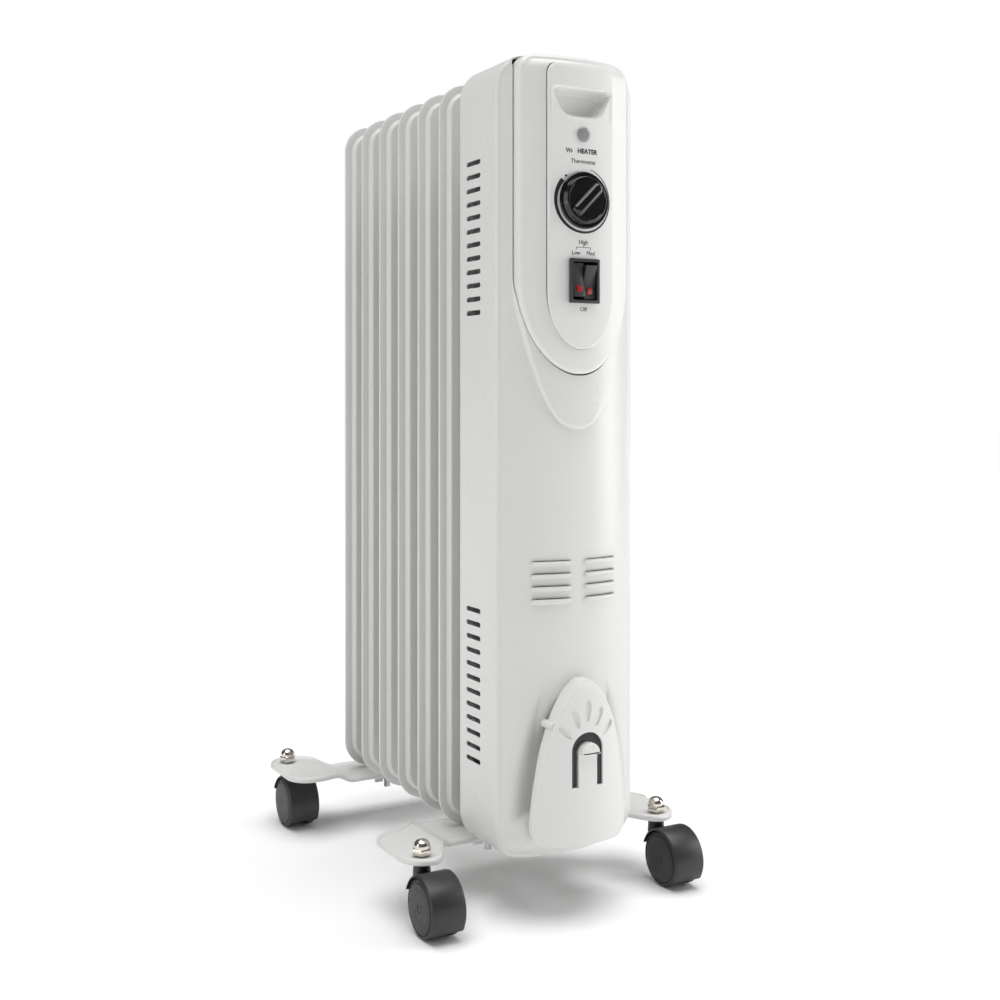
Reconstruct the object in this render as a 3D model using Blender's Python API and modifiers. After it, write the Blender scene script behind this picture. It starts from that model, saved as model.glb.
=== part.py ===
"""Oil filled radiator heater.

Seven pressed steel fins stand on two foot bars with swivel casters. A sheet steel front cover carries
the control housing, with its thermostat knob and rocker switches, and the cord bracket.

Metres, +Z up, front towards -Y, origin on the floor below the middle of the heater.
"""

import math

import bmesh
import bpy
from mathutils import Matrix, Vector

MM = 0.001
GAP = 0.3 * MM  # clearance between touching pieces

# Fins
FIN_COUNT = 7
FIN_WIDTH = 113 * MM
FIN_HEIGHT = 580 * MM
FIN_PITCH = 37.9 * MM
FIN_CORNER = 24 * MM
FIN_RIM = 6 * MM
FIN_RIM_THICK = 3 * MM
FIN_PANEL_THICK = 12 * MM
FIN_BOTTOM = 44 * MM
FIN_TOP = FIN_BOTTOM + FIN_HEIGHT
FIRST_FIN_Y = -88 * MM
SUNK_LOW = FIN_BOTTOM + 93 * MM
SUNK_HIGH = FIN_BOTTOM + 492 * MM
SUNK_WIDTH = 31 * MM
SUNK_OFFSET = 24 * MM
SUNK_DEPTH = 3.5 * MM
BOSS_RADIUS = 20 * MM
GALLERY_RADIUS = 12 * MM
LOWER_GALLERY_Z = FIN_BOTTOM + 42 * MM
UPPER_GALLERY_Z = FIN_TOP - 42 * MM
LAST_FIN_Y = FIRST_FIN_Y + (FIN_COUNT - 1) * FIN_PITCH

# Heating element and its flange
ELEMENT_RADIUS = 3.5 * MM
ELEMENT_OFFSET = 5.5 * MM
ELEMENT_FRONT = FIRST_FIN_Y - 26 * MM
FLANGE_REAR = FIRST_FIN_Y - FIN_PANEL_THICK / 2 - 3 * MM - GAP
FLANGE_THICK = 9 * MM

# Front cover
COVER_HALF = 58.5 * MM
COVER_BOTTOM = FIN_BOTTOM
COVER_TOP = FIN_BOTTOM + 582 * MM
COVER_CORNER = 25 * MM
COVER_REAR = FIRST_FIN_Y - 2 * MM
COVER_FRONT = FIRST_FIN_Y - 74 * MM
COVER_BOW_RADIUS = 106 * MM
COVER_TOP_ROUND = 14 * MM
COVER_BOTTOM_ROUND = 27 * MM
SHEET = 1.2 * MM
SIDE_SLOT_Y = (FIRST_FIN_Y - 34 * MM, FIRST_FIN_Y - 12 * MM)
SIDE_SLOT_HEIGHT = 3.7 * MM
SIDE_SLOT_PITCH = 10.05 * MM
SIDE_SLOTS = 12
SIDE_SLOT_LOWEST = (FIN_BOTTOM + 67.5 * MM, FIN_BOTTOM + 397 * MM)
LOUVRE_ROWS = 4
LOUVRE_PITCH = 9 * MM
LOUVRE_LOWEST = FIN_BOTTOM + 188 * MM
LOUVRE_X = (5 * MM, 36 * MM)
LOUVRE_HEIGHT = 2.4 * MM
RECESS_DEPTH = 7 * MM
RECESS_HALF = 52 * MM
RECESS_BOTTOM = FIN_BOTTOM + 27 * MM
RECESS_TOP = FIN_BOTTOM + 130 * MM
SHIELD_Y = FIRST_FIN_Y - 30 * MM
GLAND_Y = FIRST_FIN_Y - 25 * MM
GLAND_RADIUS = 7 * MM
GLAND_BORE = 4 * MM

# Control housing and its fascia
HOUSING_HALF = 46.8 * MM
HOUSING_TOP = COVER_TOP - 0.5 * MM
HOUSING_BOTTOM = FIN_BOTTOM + 351 * MM
HOUSING_FRONT = COVER_FRONT - 6 * MM
HOUSING_REAR = FIRST_FIN_Y - 58.5 * MM
HOUSING_SEAM = 1 * MM
FASCIA_HALF = 27.5 * MM
FASCIA_TOP = FIN_BOTTOM + 575 * MM
FASCIA_BOTTOM = FIN_BOTTOM + 369 * MM
FASCIA_FRONT = FIRST_FIN_Y - 82 * MM
FASCIA_THICK = 4 * MM
PLASTIC = 2.5 * MM
GRIP_TOP = FIN_BOTTOM + 557 * MM
GRIP_BOTTOM = FIN_BOTTOM + 536 * MM
GRIP_DEPTH = 13 * MM

# Controls
LAMP_Z = FIN_BOTTOM + 524 * MM
LAMP_RADIUS = 5.5 * MM
KNOB_Z = FIN_BOTTOM + 476.5 * MM
KNOB_SKIRT_RADIUS = 20.7 * MM
KNOB_FACE_RADIUS = 16.5 * MM
SHAFT_RADIUS = 3 * MM
SWITCH_Z = FIN_BOTTOM + 418.5 * MM
SWITCH_WIDTH = 25 * MM
SWITCH_HEIGHT = 32 * MM
CASE_INSET = 1.5 * MM
ROCKER_WIDTH = 9.6 * MM
ROCKER_TILT = 8
ROCKER_Y = FIRST_FIN_Y - 78 * MM

# Cord bracket
BRACKET_FRONT = FIRST_FIN_Y - 88.5 * MM
BRACKET_HEAD_FRONT = FIRST_FIN_Y - 92 * MM
BRACKET_THICK = 2.4 * MM
BRACKET_BOW = 12.5 * MM
BRACKET_HALF = 40 * MM
BRACKET_BOTTOM = FIN_BOTTOM + 10 * MM
POST_RADIUS = 3 * MM
POST_X = 24 * MM
POST_Z = FIN_BOTTOM + 100 * MM
POST_CLEARANCE = 3 * MM

# Foot bars and casters
FOOT_END = 120 * MM
FOOT_SHEET = 1.8 * MM
FOOT_LIP = 3.8 * MM
PLATE_TOP = FIN_BOTTOM + 6.5 * MM
BAR_TOP = FIN_BOTTOM - GAP
STEP_START = 65 * MM
STEP_END = 80 * MM
FRONT_BAR_Y = (FIRST_FIN_Y + 5 * MM, FIRST_FIN_Y + 58 * MM)
FRONT_PLATE_Y = (FIRST_FIN_Y - 42 * MM, FIRST_FIN_Y + 33 * MM)
REAR_BAR_Y = (FIRST_FIN_Y + 195 * MM, FIRST_FIN_Y + 248 * MM)
REAR_PLATE_Y = (FIRST_FIN_Y + 188 * MM, FIRST_FIN_Y + 268 * MM)
STEM_X = 103 * MM
FRONT_STEM_Y = FIRST_FIN_Y - 28 * MM
REAR_STEM_Y = FIRST_FIN_Y + 250 * MM
STEM_RADIUS = 4 * MM
WHEEL_RADIUS = 21 * MM
WHEEL_FACETS = 20
WHEEL_TRAIL = 22 * MM
WHEEL_INNER = 3.4 * MM
WHEEL_OUTER = 12.8 * MM
HOOD_RADIUS = 23 * MM
HOOD_HALF = 13.4 * MM
HOOD_WALL = 1.4 * MM
NECK_BOTTOM = 34.5 * MM
AXLE_RADIUS = 2.5 * MM
RUNNING_GAP = 0.25 * MM
BOLT_RADIUS = 3 * MM

COLOURS = {
    "white_enamel": ("EDEDEB", 0.35, 0.0),
    "white_plastic": ("F0F0EE", 0.4, 0.0),
    "black_gloss_plastic": ("111112", 0.15, 0.0),
    "black_nylon": ("262626", 0.45, 0.0),
    "zinc_plated_steel": ("B9BBBE", 0.35, 1.0),
    "nickel_plate": ("D8D2C8", 0.12, 1.0),
    "galvanised_sheet": ("A9ADB0", 0.45, 1.0),
    "brass": ("C8A860", 0.3, 1.0),
    "phenolic": ("3A2A22", 0.5, 0.0),
    "grey_lens": ("8C8E90", 0.15, 0.0),
    "red_lens": ("B01818", 0.15, 0.0),
}


def linear(channel):
    if channel <= 0.04045:
        return channel / 12.92
    return ((channel + 0.055) / 1.055) ** 2.4


def material(name):
    if name in bpy.data.materials:
        return bpy.data.materials[name]
    code, roughness, metallic = COLOURS[name]
    made = bpy.data.materials.new(name)
    made.use_nodes = True
    shader = made.node_tree.nodes["Principled BSDF"]
    rgb = [linear(int(code[i : i + 2], 16) / 255) for i in (0, 2, 4)]
    shader.inputs["Base Color"].default_value = (*rgb, 1)
    shader.inputs["Roughness"].default_value = roughness
    shader.inputs["Metallic"].default_value = metallic
    return made


def clear_scene():
    for obj in list(bpy.data.objects):
        bpy.data.objects.remove(obj)


def collection(name):
    made = bpy.data.collections.new(name)
    bpy.context.scene.collection.children.link(made)
    return made


# Outlines


def arc(centre, radius, start, end, steps):
    """Points on a circle from start to end, in degrees."""
    angles = [math.radians(start + (end - start) * i / steps) for i in range(steps + 1)]
    return [(centre[0] + radius * math.cos(a), centre[1] + radius * math.sin(a)) for a in angles]


def rounded_rectangle(left, right, low, high, radius, steps=5):
    return (
        arc((right - radius, low + radius), radius, -90, 0, steps)
        + arc((right - radius, high - radius), radius, 0, 90, steps)
        + arc((left + radius, high - radius), radius, 90, 180, steps)
        + arc((left + radius, low + radius), radius, 180, 270, steps)
    )


def circle(centre, radius, steps=24):
    return arc(centre, radius, 0, 360, steps)[:-1]


def rows_outline(rows):
    """The closed outline of a symmetric shape given as (height, half width) rows, bottom first."""
    return [(half, z) for z, half in rows] + [(-half, z) for z, half in reversed(rows)]


def drop(distance, radius):
    """How far a rounded edge has fallen back at this distance from its end."""
    if distance >= radius:
        return 0.0
    return radius - math.sqrt(max(0.0, radius**2 - (radius - distance) ** 2))


def bow(x, radius):
    return radius - math.sqrt(radius**2 - x**2)


def smoothstep(value):
    t = min(1.0, max(0.0, value))
    return t * t * (3 - 2 * t)


# Solids

TURN_TO = {
    "X": Matrix(((0, 0, 1), (1, 0, 0), (0, 1, 0))),
    "Y": Matrix(((1, 0, 0), (0, 0, -1), (0, 1, 0))),
    "Z": Matrix.Identity(3),
}


def evaluated_mesh(obj):
    bpy.context.view_layer.update()
    graph = bpy.context.evaluated_depsgraph_get()
    return bpy.data.meshes.new_from_object(obj.evaluated_get(graph))


def shade(mesh):
    mesh.shade_smooth()
    mesh.set_sharp_from_angle(angle=math.radians(35))


def slab(name, outline, axis, low, high, edge=0.0):
    """A flat outline given thickness along an axis, with rounded edges where edge is more than 0."""
    curve = bpy.data.curves.new(name, "CURVE")
    curve.dimensions = "2D"
    curve.fill_mode = "BOTH"
    curve.extrude = abs(high - low) / 2 - edge
    curve.bevel_depth = edge
    curve.bevel_resolution = 0
    curve.offset = -edge
    spline = curve.splines.new("POLY")
    spline.points.add(len(outline) - 1)
    for point, (u, v) in zip(spline.points, outline):
        point.co = (u, v, 0, 1)
    spline.use_cyclic_u = True
    flat = bpy.data.objects.new(name, curve)
    bpy.context.scene.collection.objects.link(flat)
    mesh = evaluated_mesh(flat)
    bpy.data.objects.remove(flat)
    middle = Vector([(low + high) / 2 if letter == axis else 0 for letter in "XYZ"])
    mesh.transform(Matrix.Translation(middle) @ TURN_TO[axis].to_4x4())
    return solid_object(name, mesh)


def solid_object(name, mesh):
    """An object of a mesh whose doubles are merged and whose faces point outwards."""
    work = bmesh.new()
    work.from_mesh(mesh)
    bmesh.ops.remove_doubles(work, verts=work.verts, dist=1e-6)
    bmesh.ops.recalc_face_normals(work, faces=work.faces)
    work.to_mesh(mesh)
    work.free()
    shade(mesh)
    obj = bpy.data.objects.new(name, mesh)
    bpy.context.scene.collection.objects.link(obj)
    return obj


def turned(name, profile, axis, steps=24):
    """A turned solid about an axis through its own origin. The profile is (radius, along) points."""
    work = bmesh.new()
    corners = [work.verts.new((radius, 0, along)) for radius, along in profile]
    for first, second in zip(corners, corners[1:]):
        work.edges.new((first, second))
    if profile[0][0] > 0:
        work.edges.new((corners[-1], corners[0]))
    mesh = bpy.data.meshes.new(name)
    work.to_mesh(mesh)
    work.free()
    flat = bpy.data.objects.new(name, mesh)
    bpy.context.scene.collection.objects.link(flat)
    screw = flat.modifiers.new("turn", "SCREW")
    screw.steps = screw.render_steps = steps
    screw.use_merge_vertices = True
    screw.merge_threshold = 1e-5
    mesh = evaluated_mesh(flat)
    bpy.data.objects.remove(flat)
    half_step = Matrix.Rotation(math.pi / steps, 4, "Z")
    mesh.transform(TURN_TO[axis].to_4x4() @ half_step)
    return solid_object(name, mesh)


def tube(name, points, radius, sides=2):
    """A round bar along a path."""
    curve = bpy.data.curves.new(name, "CURVE")
    curve.dimensions = "3D"
    curve.bevel_depth = radius
    curve.bevel_resolution = sides
    curve.use_fill_caps = True
    spline = curve.splines.new("POLY")
    spline.points.add(len(points) - 1)
    for point, co in zip(spline.points, points):
        point.co = (*co, 1)
    bar = bpy.data.objects.new(name, curve)
    bpy.context.scene.collection.objects.link(bar)
    mesh = evaluated_mesh(bar)
    bpy.data.objects.remove(bar)
    return solid_object(name, mesh)


def block(name, low, high):
    """A box between two corners."""
    work = bmesh.new()
    bmesh.ops.create_cube(work, size=1)
    sides = [b - a for a, b in zip(low, high)]
    middle = [(a + b) / 2 for a, b in zip(low, high)]
    bmesh.ops.scale(work, vec=sides, verts=work.verts)
    bmesh.ops.translate(work, vec=middle, verts=work.verts)
    mesh = bpy.data.meshes.new(name)
    work.to_mesh(mesh)
    work.free()
    return solid_object(name, mesh)


def bowed_shell(name, rows, front, columns, thickness, rear=None, edge=0.0):
    """A sheet over (height, half width) rows whose front is front(x, z), with a skirt back to rear."""
    work = bmesh.new()
    grid = []
    for z, half in rows:
        xs = [half * share for share in columns]
        grid.append([work.verts.new((x, front(x, z), z)) for x in xs])
    for lower, upper in zip(grid, grid[1:]):
        for i in range(len(columns) - 1):
            work.faces.new((lower[i], lower[i + 1], upper[i + 1], upper[i]))
    if rear is not None:
        rim = [side for side in work.edges if side.is_boundary]
        skirt = bmesh.ops.extrude_edge_only(work, edges=rim)["geom"]
        for vert in [item for item in skirt if isinstance(item, bmesh.types.BMVert)]:
            vert.co.y = rear
    bmesh.ops.recalc_face_normals(work, faces=work.faces)
    middle = grid[len(rows) // 2][len(columns) // 2]
    if middle.link_faces[0].normal.y > 0:
        bmesh.ops.reverse_faces(work, faces=work.faces)
    mesh = bpy.data.meshes.new(name)
    work.to_mesh(mesh)
    work.free()
    sheet = bpy.data.objects.new(name, mesh)
    bpy.context.scene.collection.objects.link(sheet)
    if edge:
        rounding = sheet.modifiers.new("rounded_edges", "BEVEL")
        rounding.width = edge
        rounding.segments = 2
        rounding.angle_limit = math.radians(45)
    wall = sheet.modifiers.new("wall", "SOLIDIFY")
    wall.thickness = thickness
    wall.offset = -1
    mesh = evaluated_mesh(sheet)
    bpy.data.objects.remove(sheet)
    return solid_object(name, mesh)


# Putting pieces together


def combine(obj, tool, operation):
    modifier = obj.modifiers.new(f"{operation.lower()}_{tool.name}", "BOOLEAN")
    modifier.operation = operation
    modifier.object = tool
    modifier.solver = "EXACT"
    tool.hide_render = True
    tool.display_type = "WIRE"
    move_to(tool, CUTTERS)


def join(obj, *tools):
    for tool in tools:
        combine(obj, tool, "UNION")
    return obj


def cut(obj, *tools):
    for tool in tools:
        combine(obj, tool, "DIFFERENCE")


def move_to(obj, target):
    for old in obj.users_collection:
        old.objects.unlink(obj)
    target.objects.link(obj)


def part(obj, finish):
    """Gives a finished piece its material and its place among the parts."""
    obj.data.materials.clear()
    obj.data.materials.append(material(finish))
    move_to(obj, PARTS)


def bake(obj):
    """The object's final mesh, with its cutters and the object itself removed."""
    mesh = evaluated_mesh(obj)
    tools = [modifier.object for modifier in obj.modifiers]
    for used in tools + [obj]:
        bpy.data.objects.remove(used)
    shade(mesh)
    return mesh


def placed(mesh, name, finish, location, turn=0.0, parent=None):
    """A copy of a mesh at a place, turned about Z."""
    obj = bpy.data.objects.new(name, mesh)
    bpy.context.scene.collection.objects.link(obj)
    obj.location = location
    obj.rotation_euler.z = turn
    if parent:
        obj.parent = parent
        obj.location = Vector(location) - parent.location
    part(obj, finish)


# Fins and what is inside them


def fin(name, y, front_boss, rear_boss, bore):
    half = FIN_WIDTH / 2
    inner = half - FIN_RIM
    rim = rounded_rectangle(-half, half, FIN_BOTTOM, FIN_TOP, FIN_CORNER, 3)
    panel = rounded_rectangle(
        -inner, inner, FIN_BOTTOM + FIN_RIM, FIN_TOP - FIN_RIM, FIN_CORNER - FIN_RIM, 3
    )
    face = FIN_PANEL_THICK / 2
    body = slab(name, rim, "Y", y - FIN_RIM_THICK / 2, y + FIN_RIM_THICK / 2)
    join(body, slab(f"{name}_panel", panel, "Y", y - face, y + face, 2 * MM))
    for z in (LOWER_GALLERY_Z, UPPER_GALLERY_Z):
        boss = circle((0, z), BOSS_RADIUS, 12)
        join(body, slab(f"{name}_boss", boss, "Y", y - front_boss, y + rear_boss))
    for x in (-SUNK_OFFSET, SUNK_OFFSET):
        sunk = rounded_rectangle(
            x - SUNK_WIDTH / 2, x + SUNK_WIDTH / 2, SUNK_LOW, SUNK_HIGH, SUNK_WIDTH / 3, 1
        )
        floor = face - SUNK_DEPTH
        cut(
            body,
            slab(f"{name}_sunk_front", sunk, "Y", y - face - 2 * MM, y - floor),
            slab(f"{name}_sunk_rear", sunk, "Y", y + floor, y + face + 2 * MM),
        )
    gallery = circle((0, LOWER_GALLERY_Z), GALLERY_RADIUS, 12)
    cut(body, slab(f"{name}_gallery", gallery, "Y", y - bore[0], y + bore[1]))
    part(body, "white_enamel")


def fins():
    to_neighbour = FIN_PITCH / 2 - GAP / 2
    end = FIN_PANEL_THICK / 2 + 3 * MM
    past = FIN_PITCH / 2 + 5 * MM
    for number in range(FIN_COUNT):
        first = number == 0
        last = number == FIN_COUNT - 1
        fin(
            f"fin_{number + 1}",
            FIRST_FIN_Y + number * FIN_PITCH,
            end if first else to_neighbour,
            FIN_PANEL_THICK / 2 - 1 * MM if last else to_neighbour,
            (past, 3.5 * MM if last else past),
        )


def heating_element():
    """A hairpin in the lower gallery, and the flange that it comes out of."""
    bend = arc((LAST_FIN_Y - 16 * MM, LOWER_GALLERY_Z), ELEMENT_OFFSET, -90, 90, 6)
    points = [(0, ELEMENT_FRONT, LOWER_GALLERY_Z - ELEMENT_OFFSET)]
    points += [(0, y, z) for y, z in bend]
    points += [(0, ELEMENT_FRONT, LOWER_GALLERY_Z + ELEMENT_OFFSET)]
    part(tube("heating_element", points, ELEMENT_RADIUS), "zinc_plated_steel")
    hexagon = circle((0, LOWER_GALLERY_Z), 18 * MM, 6)
    flange = slab("element_flange", hexagon, "Y", FLANGE_REAR - FLANGE_THICK, FLANGE_REAR)
    for side in (-1, 1):
        hole = circle((0, LOWER_GALLERY_Z + side * ELEMENT_OFFSET), ELEMENT_RADIUS + GAP, 12)
        cut(flange, slab("element_hole", hole, "Y", FLANGE_REAR - 20 * MM, FLANGE_REAR + 9 * MM))
    part(flange, "brass")
    hexagon = circle((0, UPPER_GALLERY_Z), 11 * MM, 6)
    plug = slab("oil_filler_plug", hexagon, "Y", FLANGE_REAR - 6 * MM, FLANGE_REAR)
    part(plug, "zinc_plated_steel")


# Front cover and what is inside it


def cover_rows(inset=0.0):
    """(height, half width) rows of the cover's rounded rectangle, closer where it curves."""
    radius = COVER_CORNER - inset
    half = COVER_HALF - inset
    low = COVER_BOTTOM + inset
    high = COVER_TOP - inset
    corner = arc((half - radius, low + radius), radius, -90, 0, 5)
    rows = [(z, x) for x, z in corner]
    rows += [(FIN_BOTTOM + z * MM, half) for z in (45, 70, 95, 120, 140, 400)]
    upper = arc((half - radius, high - radius), radius, 0, 90, 5)
    return rows + [(z, x) for x, z in upper]


def cover_front(x, z):
    """The bowed front, rounded back at its top and bottom, with a hollow behind the cord bracket."""
    y = COVER_FRONT + bow(x, COVER_BOW_RADIUS)
    y += drop(COVER_TOP - z, COVER_TOP_ROUND) + drop(z - COVER_BOTTOM, COVER_BOTTOM_ROUND)
    across = abs(x) / RECESS_HALF
    up = (z - RECESS_BOTTOM) / (RECESS_TOP - RECESS_BOTTOM)
    inside = min(1 - across, 2 * (1 - up - across**2 * 0.4), 5 * up)
    return y + RECESS_DEPTH * smoothstep(2.2 * inside)


def capsule(low, high, middle, height, steps=4):
    """A slot outline with round ends."""
    r = height / 2
    return arc((high - r, middle), r, -90, 90, steps) + arc((low + r, middle), r, 90, 270, steps)


def front_cover():
    columns = [-1, -0.88, -0.65, -0.35, 0, 0.35, 0.65, 0.88, 1]
    cover = bowed_shell(
        "front_cover", cover_rows(), cover_front, columns, SHEET, COVER_REAR, 2.5 * MM
    )
    for lowest in SIDE_SLOT_LOWEST:
        for row in range(SIDE_SLOTS):
            slot = capsule(*SIDE_SLOT_Y, lowest + row * SIDE_SLOT_PITCH, SIDE_SLOT_HEIGHT, 2)
            cut(cover, slab("side_slot", slot, "X", -80 * MM, 80 * MM))
    for row in range(LOUVRE_ROWS):
        for side in (-1, 1):
            ends = sorted((side * LOUVRE_X[0], side * LOUVRE_X[1]))
            louvre = capsule(*ends, LOUVRE_LOWEST + row * LOUVRE_PITCH, LOUVRE_HEIGHT, 2)
            cut(cover, slab("louvre", louvre, "Y", COVER_FRONT - 10 * MM, COVER_FRONT + 20 * MM))
    opening = rows_outline(tongue_rows(HOUSING_HALF, HOUSING_BOTTOM, COVER_TOP, HOUSING_SEAM))
    cut(cover, slab("housing_opening", opening, "Y", HOUSING_FRONT - 20 * MM, HOUSING_REAR + GAP))
    gland = circle((0, GLAND_Y), GLAND_RADIUS + GAP, 16)
    cut(cover, slab("gland_hole", gland, "Z", COVER_BOTTOM - 9 * MM, COVER_BOTTOM + 9 * MM))
    part(cover, "white_enamel")


def inside_the_cover():
    """The heat shield, and the electrical parts that it carries or that stand below it."""
    half = COVER_HALF - 4 * MM
    plate = rounded_rectangle(
        -half, half, COVER_BOTTOM + 14 * MM, COVER_TOP - 5 * MM, COVER_CORNER - 4 * MM, 4
    )
    shield = slab("heat_shield", plate, "Y", SHIELD_Y, SHIELD_Y + 1 * MM)
    terminals = circle((0, LOWER_GALLERY_Z), 14 * MM, 16)
    cut(shield, slab("shield_hole", terminals, "Y", SHIELD_Y - 9 * MM, SHIELD_Y + 9 * MM))
    part(shield, "galvanised_sheet")
    on_shield = SHIELD_Y - GAP
    disc = circle((18 * MM, FIN_BOTTOM + 250 * MM), 8 * MM, 16)
    cutout = slab("thermal_cutout", disc, "Y", on_shield - 9 * MM, on_shield)
    tab = block(
        "cutout_tab",
        (6 * MM, on_shield - 2 * MM, FIN_BOTTOM + 246 * MM),
        (30 * MM, on_shield, FIN_BOTTOM + 254 * MM),
    )
    part(join(cutout, tab), "phenolic")
    strip = block(
        "terminal_block",
        (-24 * MM, on_shield - 12 * MM, FIN_BOTTOM + 150 * MM),
        (24 * MM, on_shield, FIN_BOTTOM + 168 * MM),
    )
    for x in (-15 * MM, 0, 15 * MM):
        well = block(
            "clamp_well",
            (x - 4 * MM, on_shield - 15 * MM, FIN_BOTTOM + 155 * MM),
            (x + 4 * MM, on_shield - 6 * MM, FIN_BOTTOM + 163 * MM),
        )
        cut(strip, well)
    part(strip, "phenolic")
    bottom = COVER_BOTTOM - 5 * MM
    profile = [
        (GLAND_RADIUS, COVER_BOTTOM + 10 * MM),
        (GLAND_RADIUS, COVER_BOTTOM - GAP),
        (GLAND_RADIUS + 2.5 * MM, COVER_BOTTOM - GAP),
        (GLAND_RADIUS + 1.5 * MM, bottom),
        (GLAND_BORE, bottom),
        (GLAND_BORE, COVER_BOTTOM + 10 * MM),
    ]
    gland = turned("cord_gland", profile, "Z", 16)
    gland.location = (0, GLAND_Y, 0)
    part(gland, "black_nylon")
    route = [
        (-12, 44, 172),
        (-22, 47, 190),
        (-26, 48, 230),
        (-26, 48, 300),
        (-26, 48, 380),
        (-22, 47, 430),
        (-14, 43, 452),
    ]
    points = [(x * MM, FIRST_FIN_Y - y * MM, FIN_BOTTOM + z * MM) for x, y, z in route]
    part(tube("wiring_loom", points, 2.5 * MM, 1), "black_nylon")


# Control housing


def tongue_rows(half, bottom, top, grow=0.0, corner=14 * MM):
    """Rows of a tongue: an elliptical foot, straight sides, and rounded top corners."""
    half = half + grow
    bottom = bottom - grow
    foot = 1.55 * half
    rows = []
    for i in range(9):
        angle = math.radians(-84 + 84 * i / 8)
        rows.append((bottom + foot + foot * math.sin(angle), half * math.cos(angle)))
    rows += [(bottom + foot + (top - bottom - foot) * share, half) for share in (0.35, 0.7)]
    if grow:
        return rows + [(top + 20 * MM, half)]
    turn = arc((half - corner, top - corner), corner, 0, 90, 5)
    return rows + [(z, x) for x, z in turn]


def housing_front(x, z):
    y = HOUSING_FRONT + bow(x, COVER_BOW_RADIUS + 6 * MM)
    return y + drop(HOUSING_TOP - z, COVER_TOP_ROUND)


def fascia_front(x, z):
    return FASCIA_FRONT + bow(x, 150 * MM) + drop(FASCIA_TOP - z, 6 * MM) / 2


def control_housing():
    columns = [-1, -0.9, -0.6, -0.3, 0, 0.3, 0.6, 0.9, 1]
    rows = tongue_rows(HOUSING_HALF, HOUSING_BOTTOM, HOUSING_TOP)
    housing = bowed_shell(
        "control_housing", rows, housing_front, columns, PLASTIC, HOUSING_REAR, 4 * MM
    )
    rows = tongue_rows(FASCIA_HALF, FASCIA_BOTTOM, FASCIA_TOP, corner=9 * MM)
    wide = [(z, half + GAP) for z, half in rows]
    wide[0] = (wide[0][0] - GAP, wide[0][1])
    wide[-1] = (wide[-1][0] + GAP, wide[-1][1])
    window = rows_outline(wide)
    cut(housing, slab("fascia_window", window, "Y", HOUSING_FRONT - 9 * MM, HOUSING_REAR - 2 * MM))
    part(housing, "white_plastic")
    columns = [-1, -0.6, -0.2, 0.2, 0.6, 1]
    fascia = bowed_shell("fascia_panel", rows, fascia_front, columns, FASCIA_THICK)
    front = FASCIA_FRONT - 9 * MM
    pocket_rear = FASCIA_FRONT + GRIP_DEPTH
    cup = block(
        "grip_cup",
        (-26.2 * MM, FASCIA_FRONT + 2 * MM, GRIP_BOTTOM - 2 * MM),
        (26.2 * MM, pocket_rear + 2 * MM, GRIP_TOP + 2 * MM),
    )
    join(fascia, cup)
    pocket = [
        (-15 * MM, GRIP_BOTTOM),
        (15 * MM, GRIP_BOTTOM),
        (19 * MM, GRIP_BOTTOM + 3 * MM),
        (24 * MM, GRIP_TOP - 4 * MM),
        (24 * MM, GRIP_TOP),
        (-24 * MM, GRIP_TOP),
        (-24 * MM, GRIP_TOP - 4 * MM),
        (-19 * MM, GRIP_BOTTOM + 3 * MM),
    ]
    cut(fascia, slab("grip_pocket", pocket, "Y", front, pocket_rear))
    lamp_hole = circle((0, LAMP_Z), LAMP_RADIUS - 1 * MM + GAP, 16)
    shaft_hole = circle((0, KNOB_Z), 5 * MM, 16)
    for outline in (lamp_hole, shaft_hole, switch_outline(GAP - CASE_INSET)):
        cut(fascia, slab("fascia_hole", outline, "Y", front, FASCIA_FRONT + 9 * MM))
    part(fascia, "white_plastic")


def switch_outline(grow):
    return [
        (side_x * (SWITCH_WIDTH / 2 + grow), SWITCH_Z + side_z * (SWITCH_HEIGHT / 2 + grow))
        for side_x, side_z in ((1, -1), (1, 1), (-1, 1), (-1, -1))
    ]


# Controls


def pilot_lamp():
    face = FASCIA_FRONT - GAP
    profile = [
        (0, 3 * MM),
        (2.6 * MM, 2.5 * MM),
        (4.4 * MM, 1.3 * MM),
        (LAMP_RADIUS, 0),
        (LAMP_RADIUS, -0.2 * MM),
        (LAMP_RADIUS - 1 * MM, -0.2 * MM),
        (LAMP_RADIUS - 1 * MM, -14 * MM),
        (0, -14 * MM),
    ]
    lamp = turned("pilot_lamp", profile, "Y", 16)
    lamp.location = (0, face - 0.2 * MM, LAMP_Z)
    part(lamp, "grey_lens")


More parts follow.
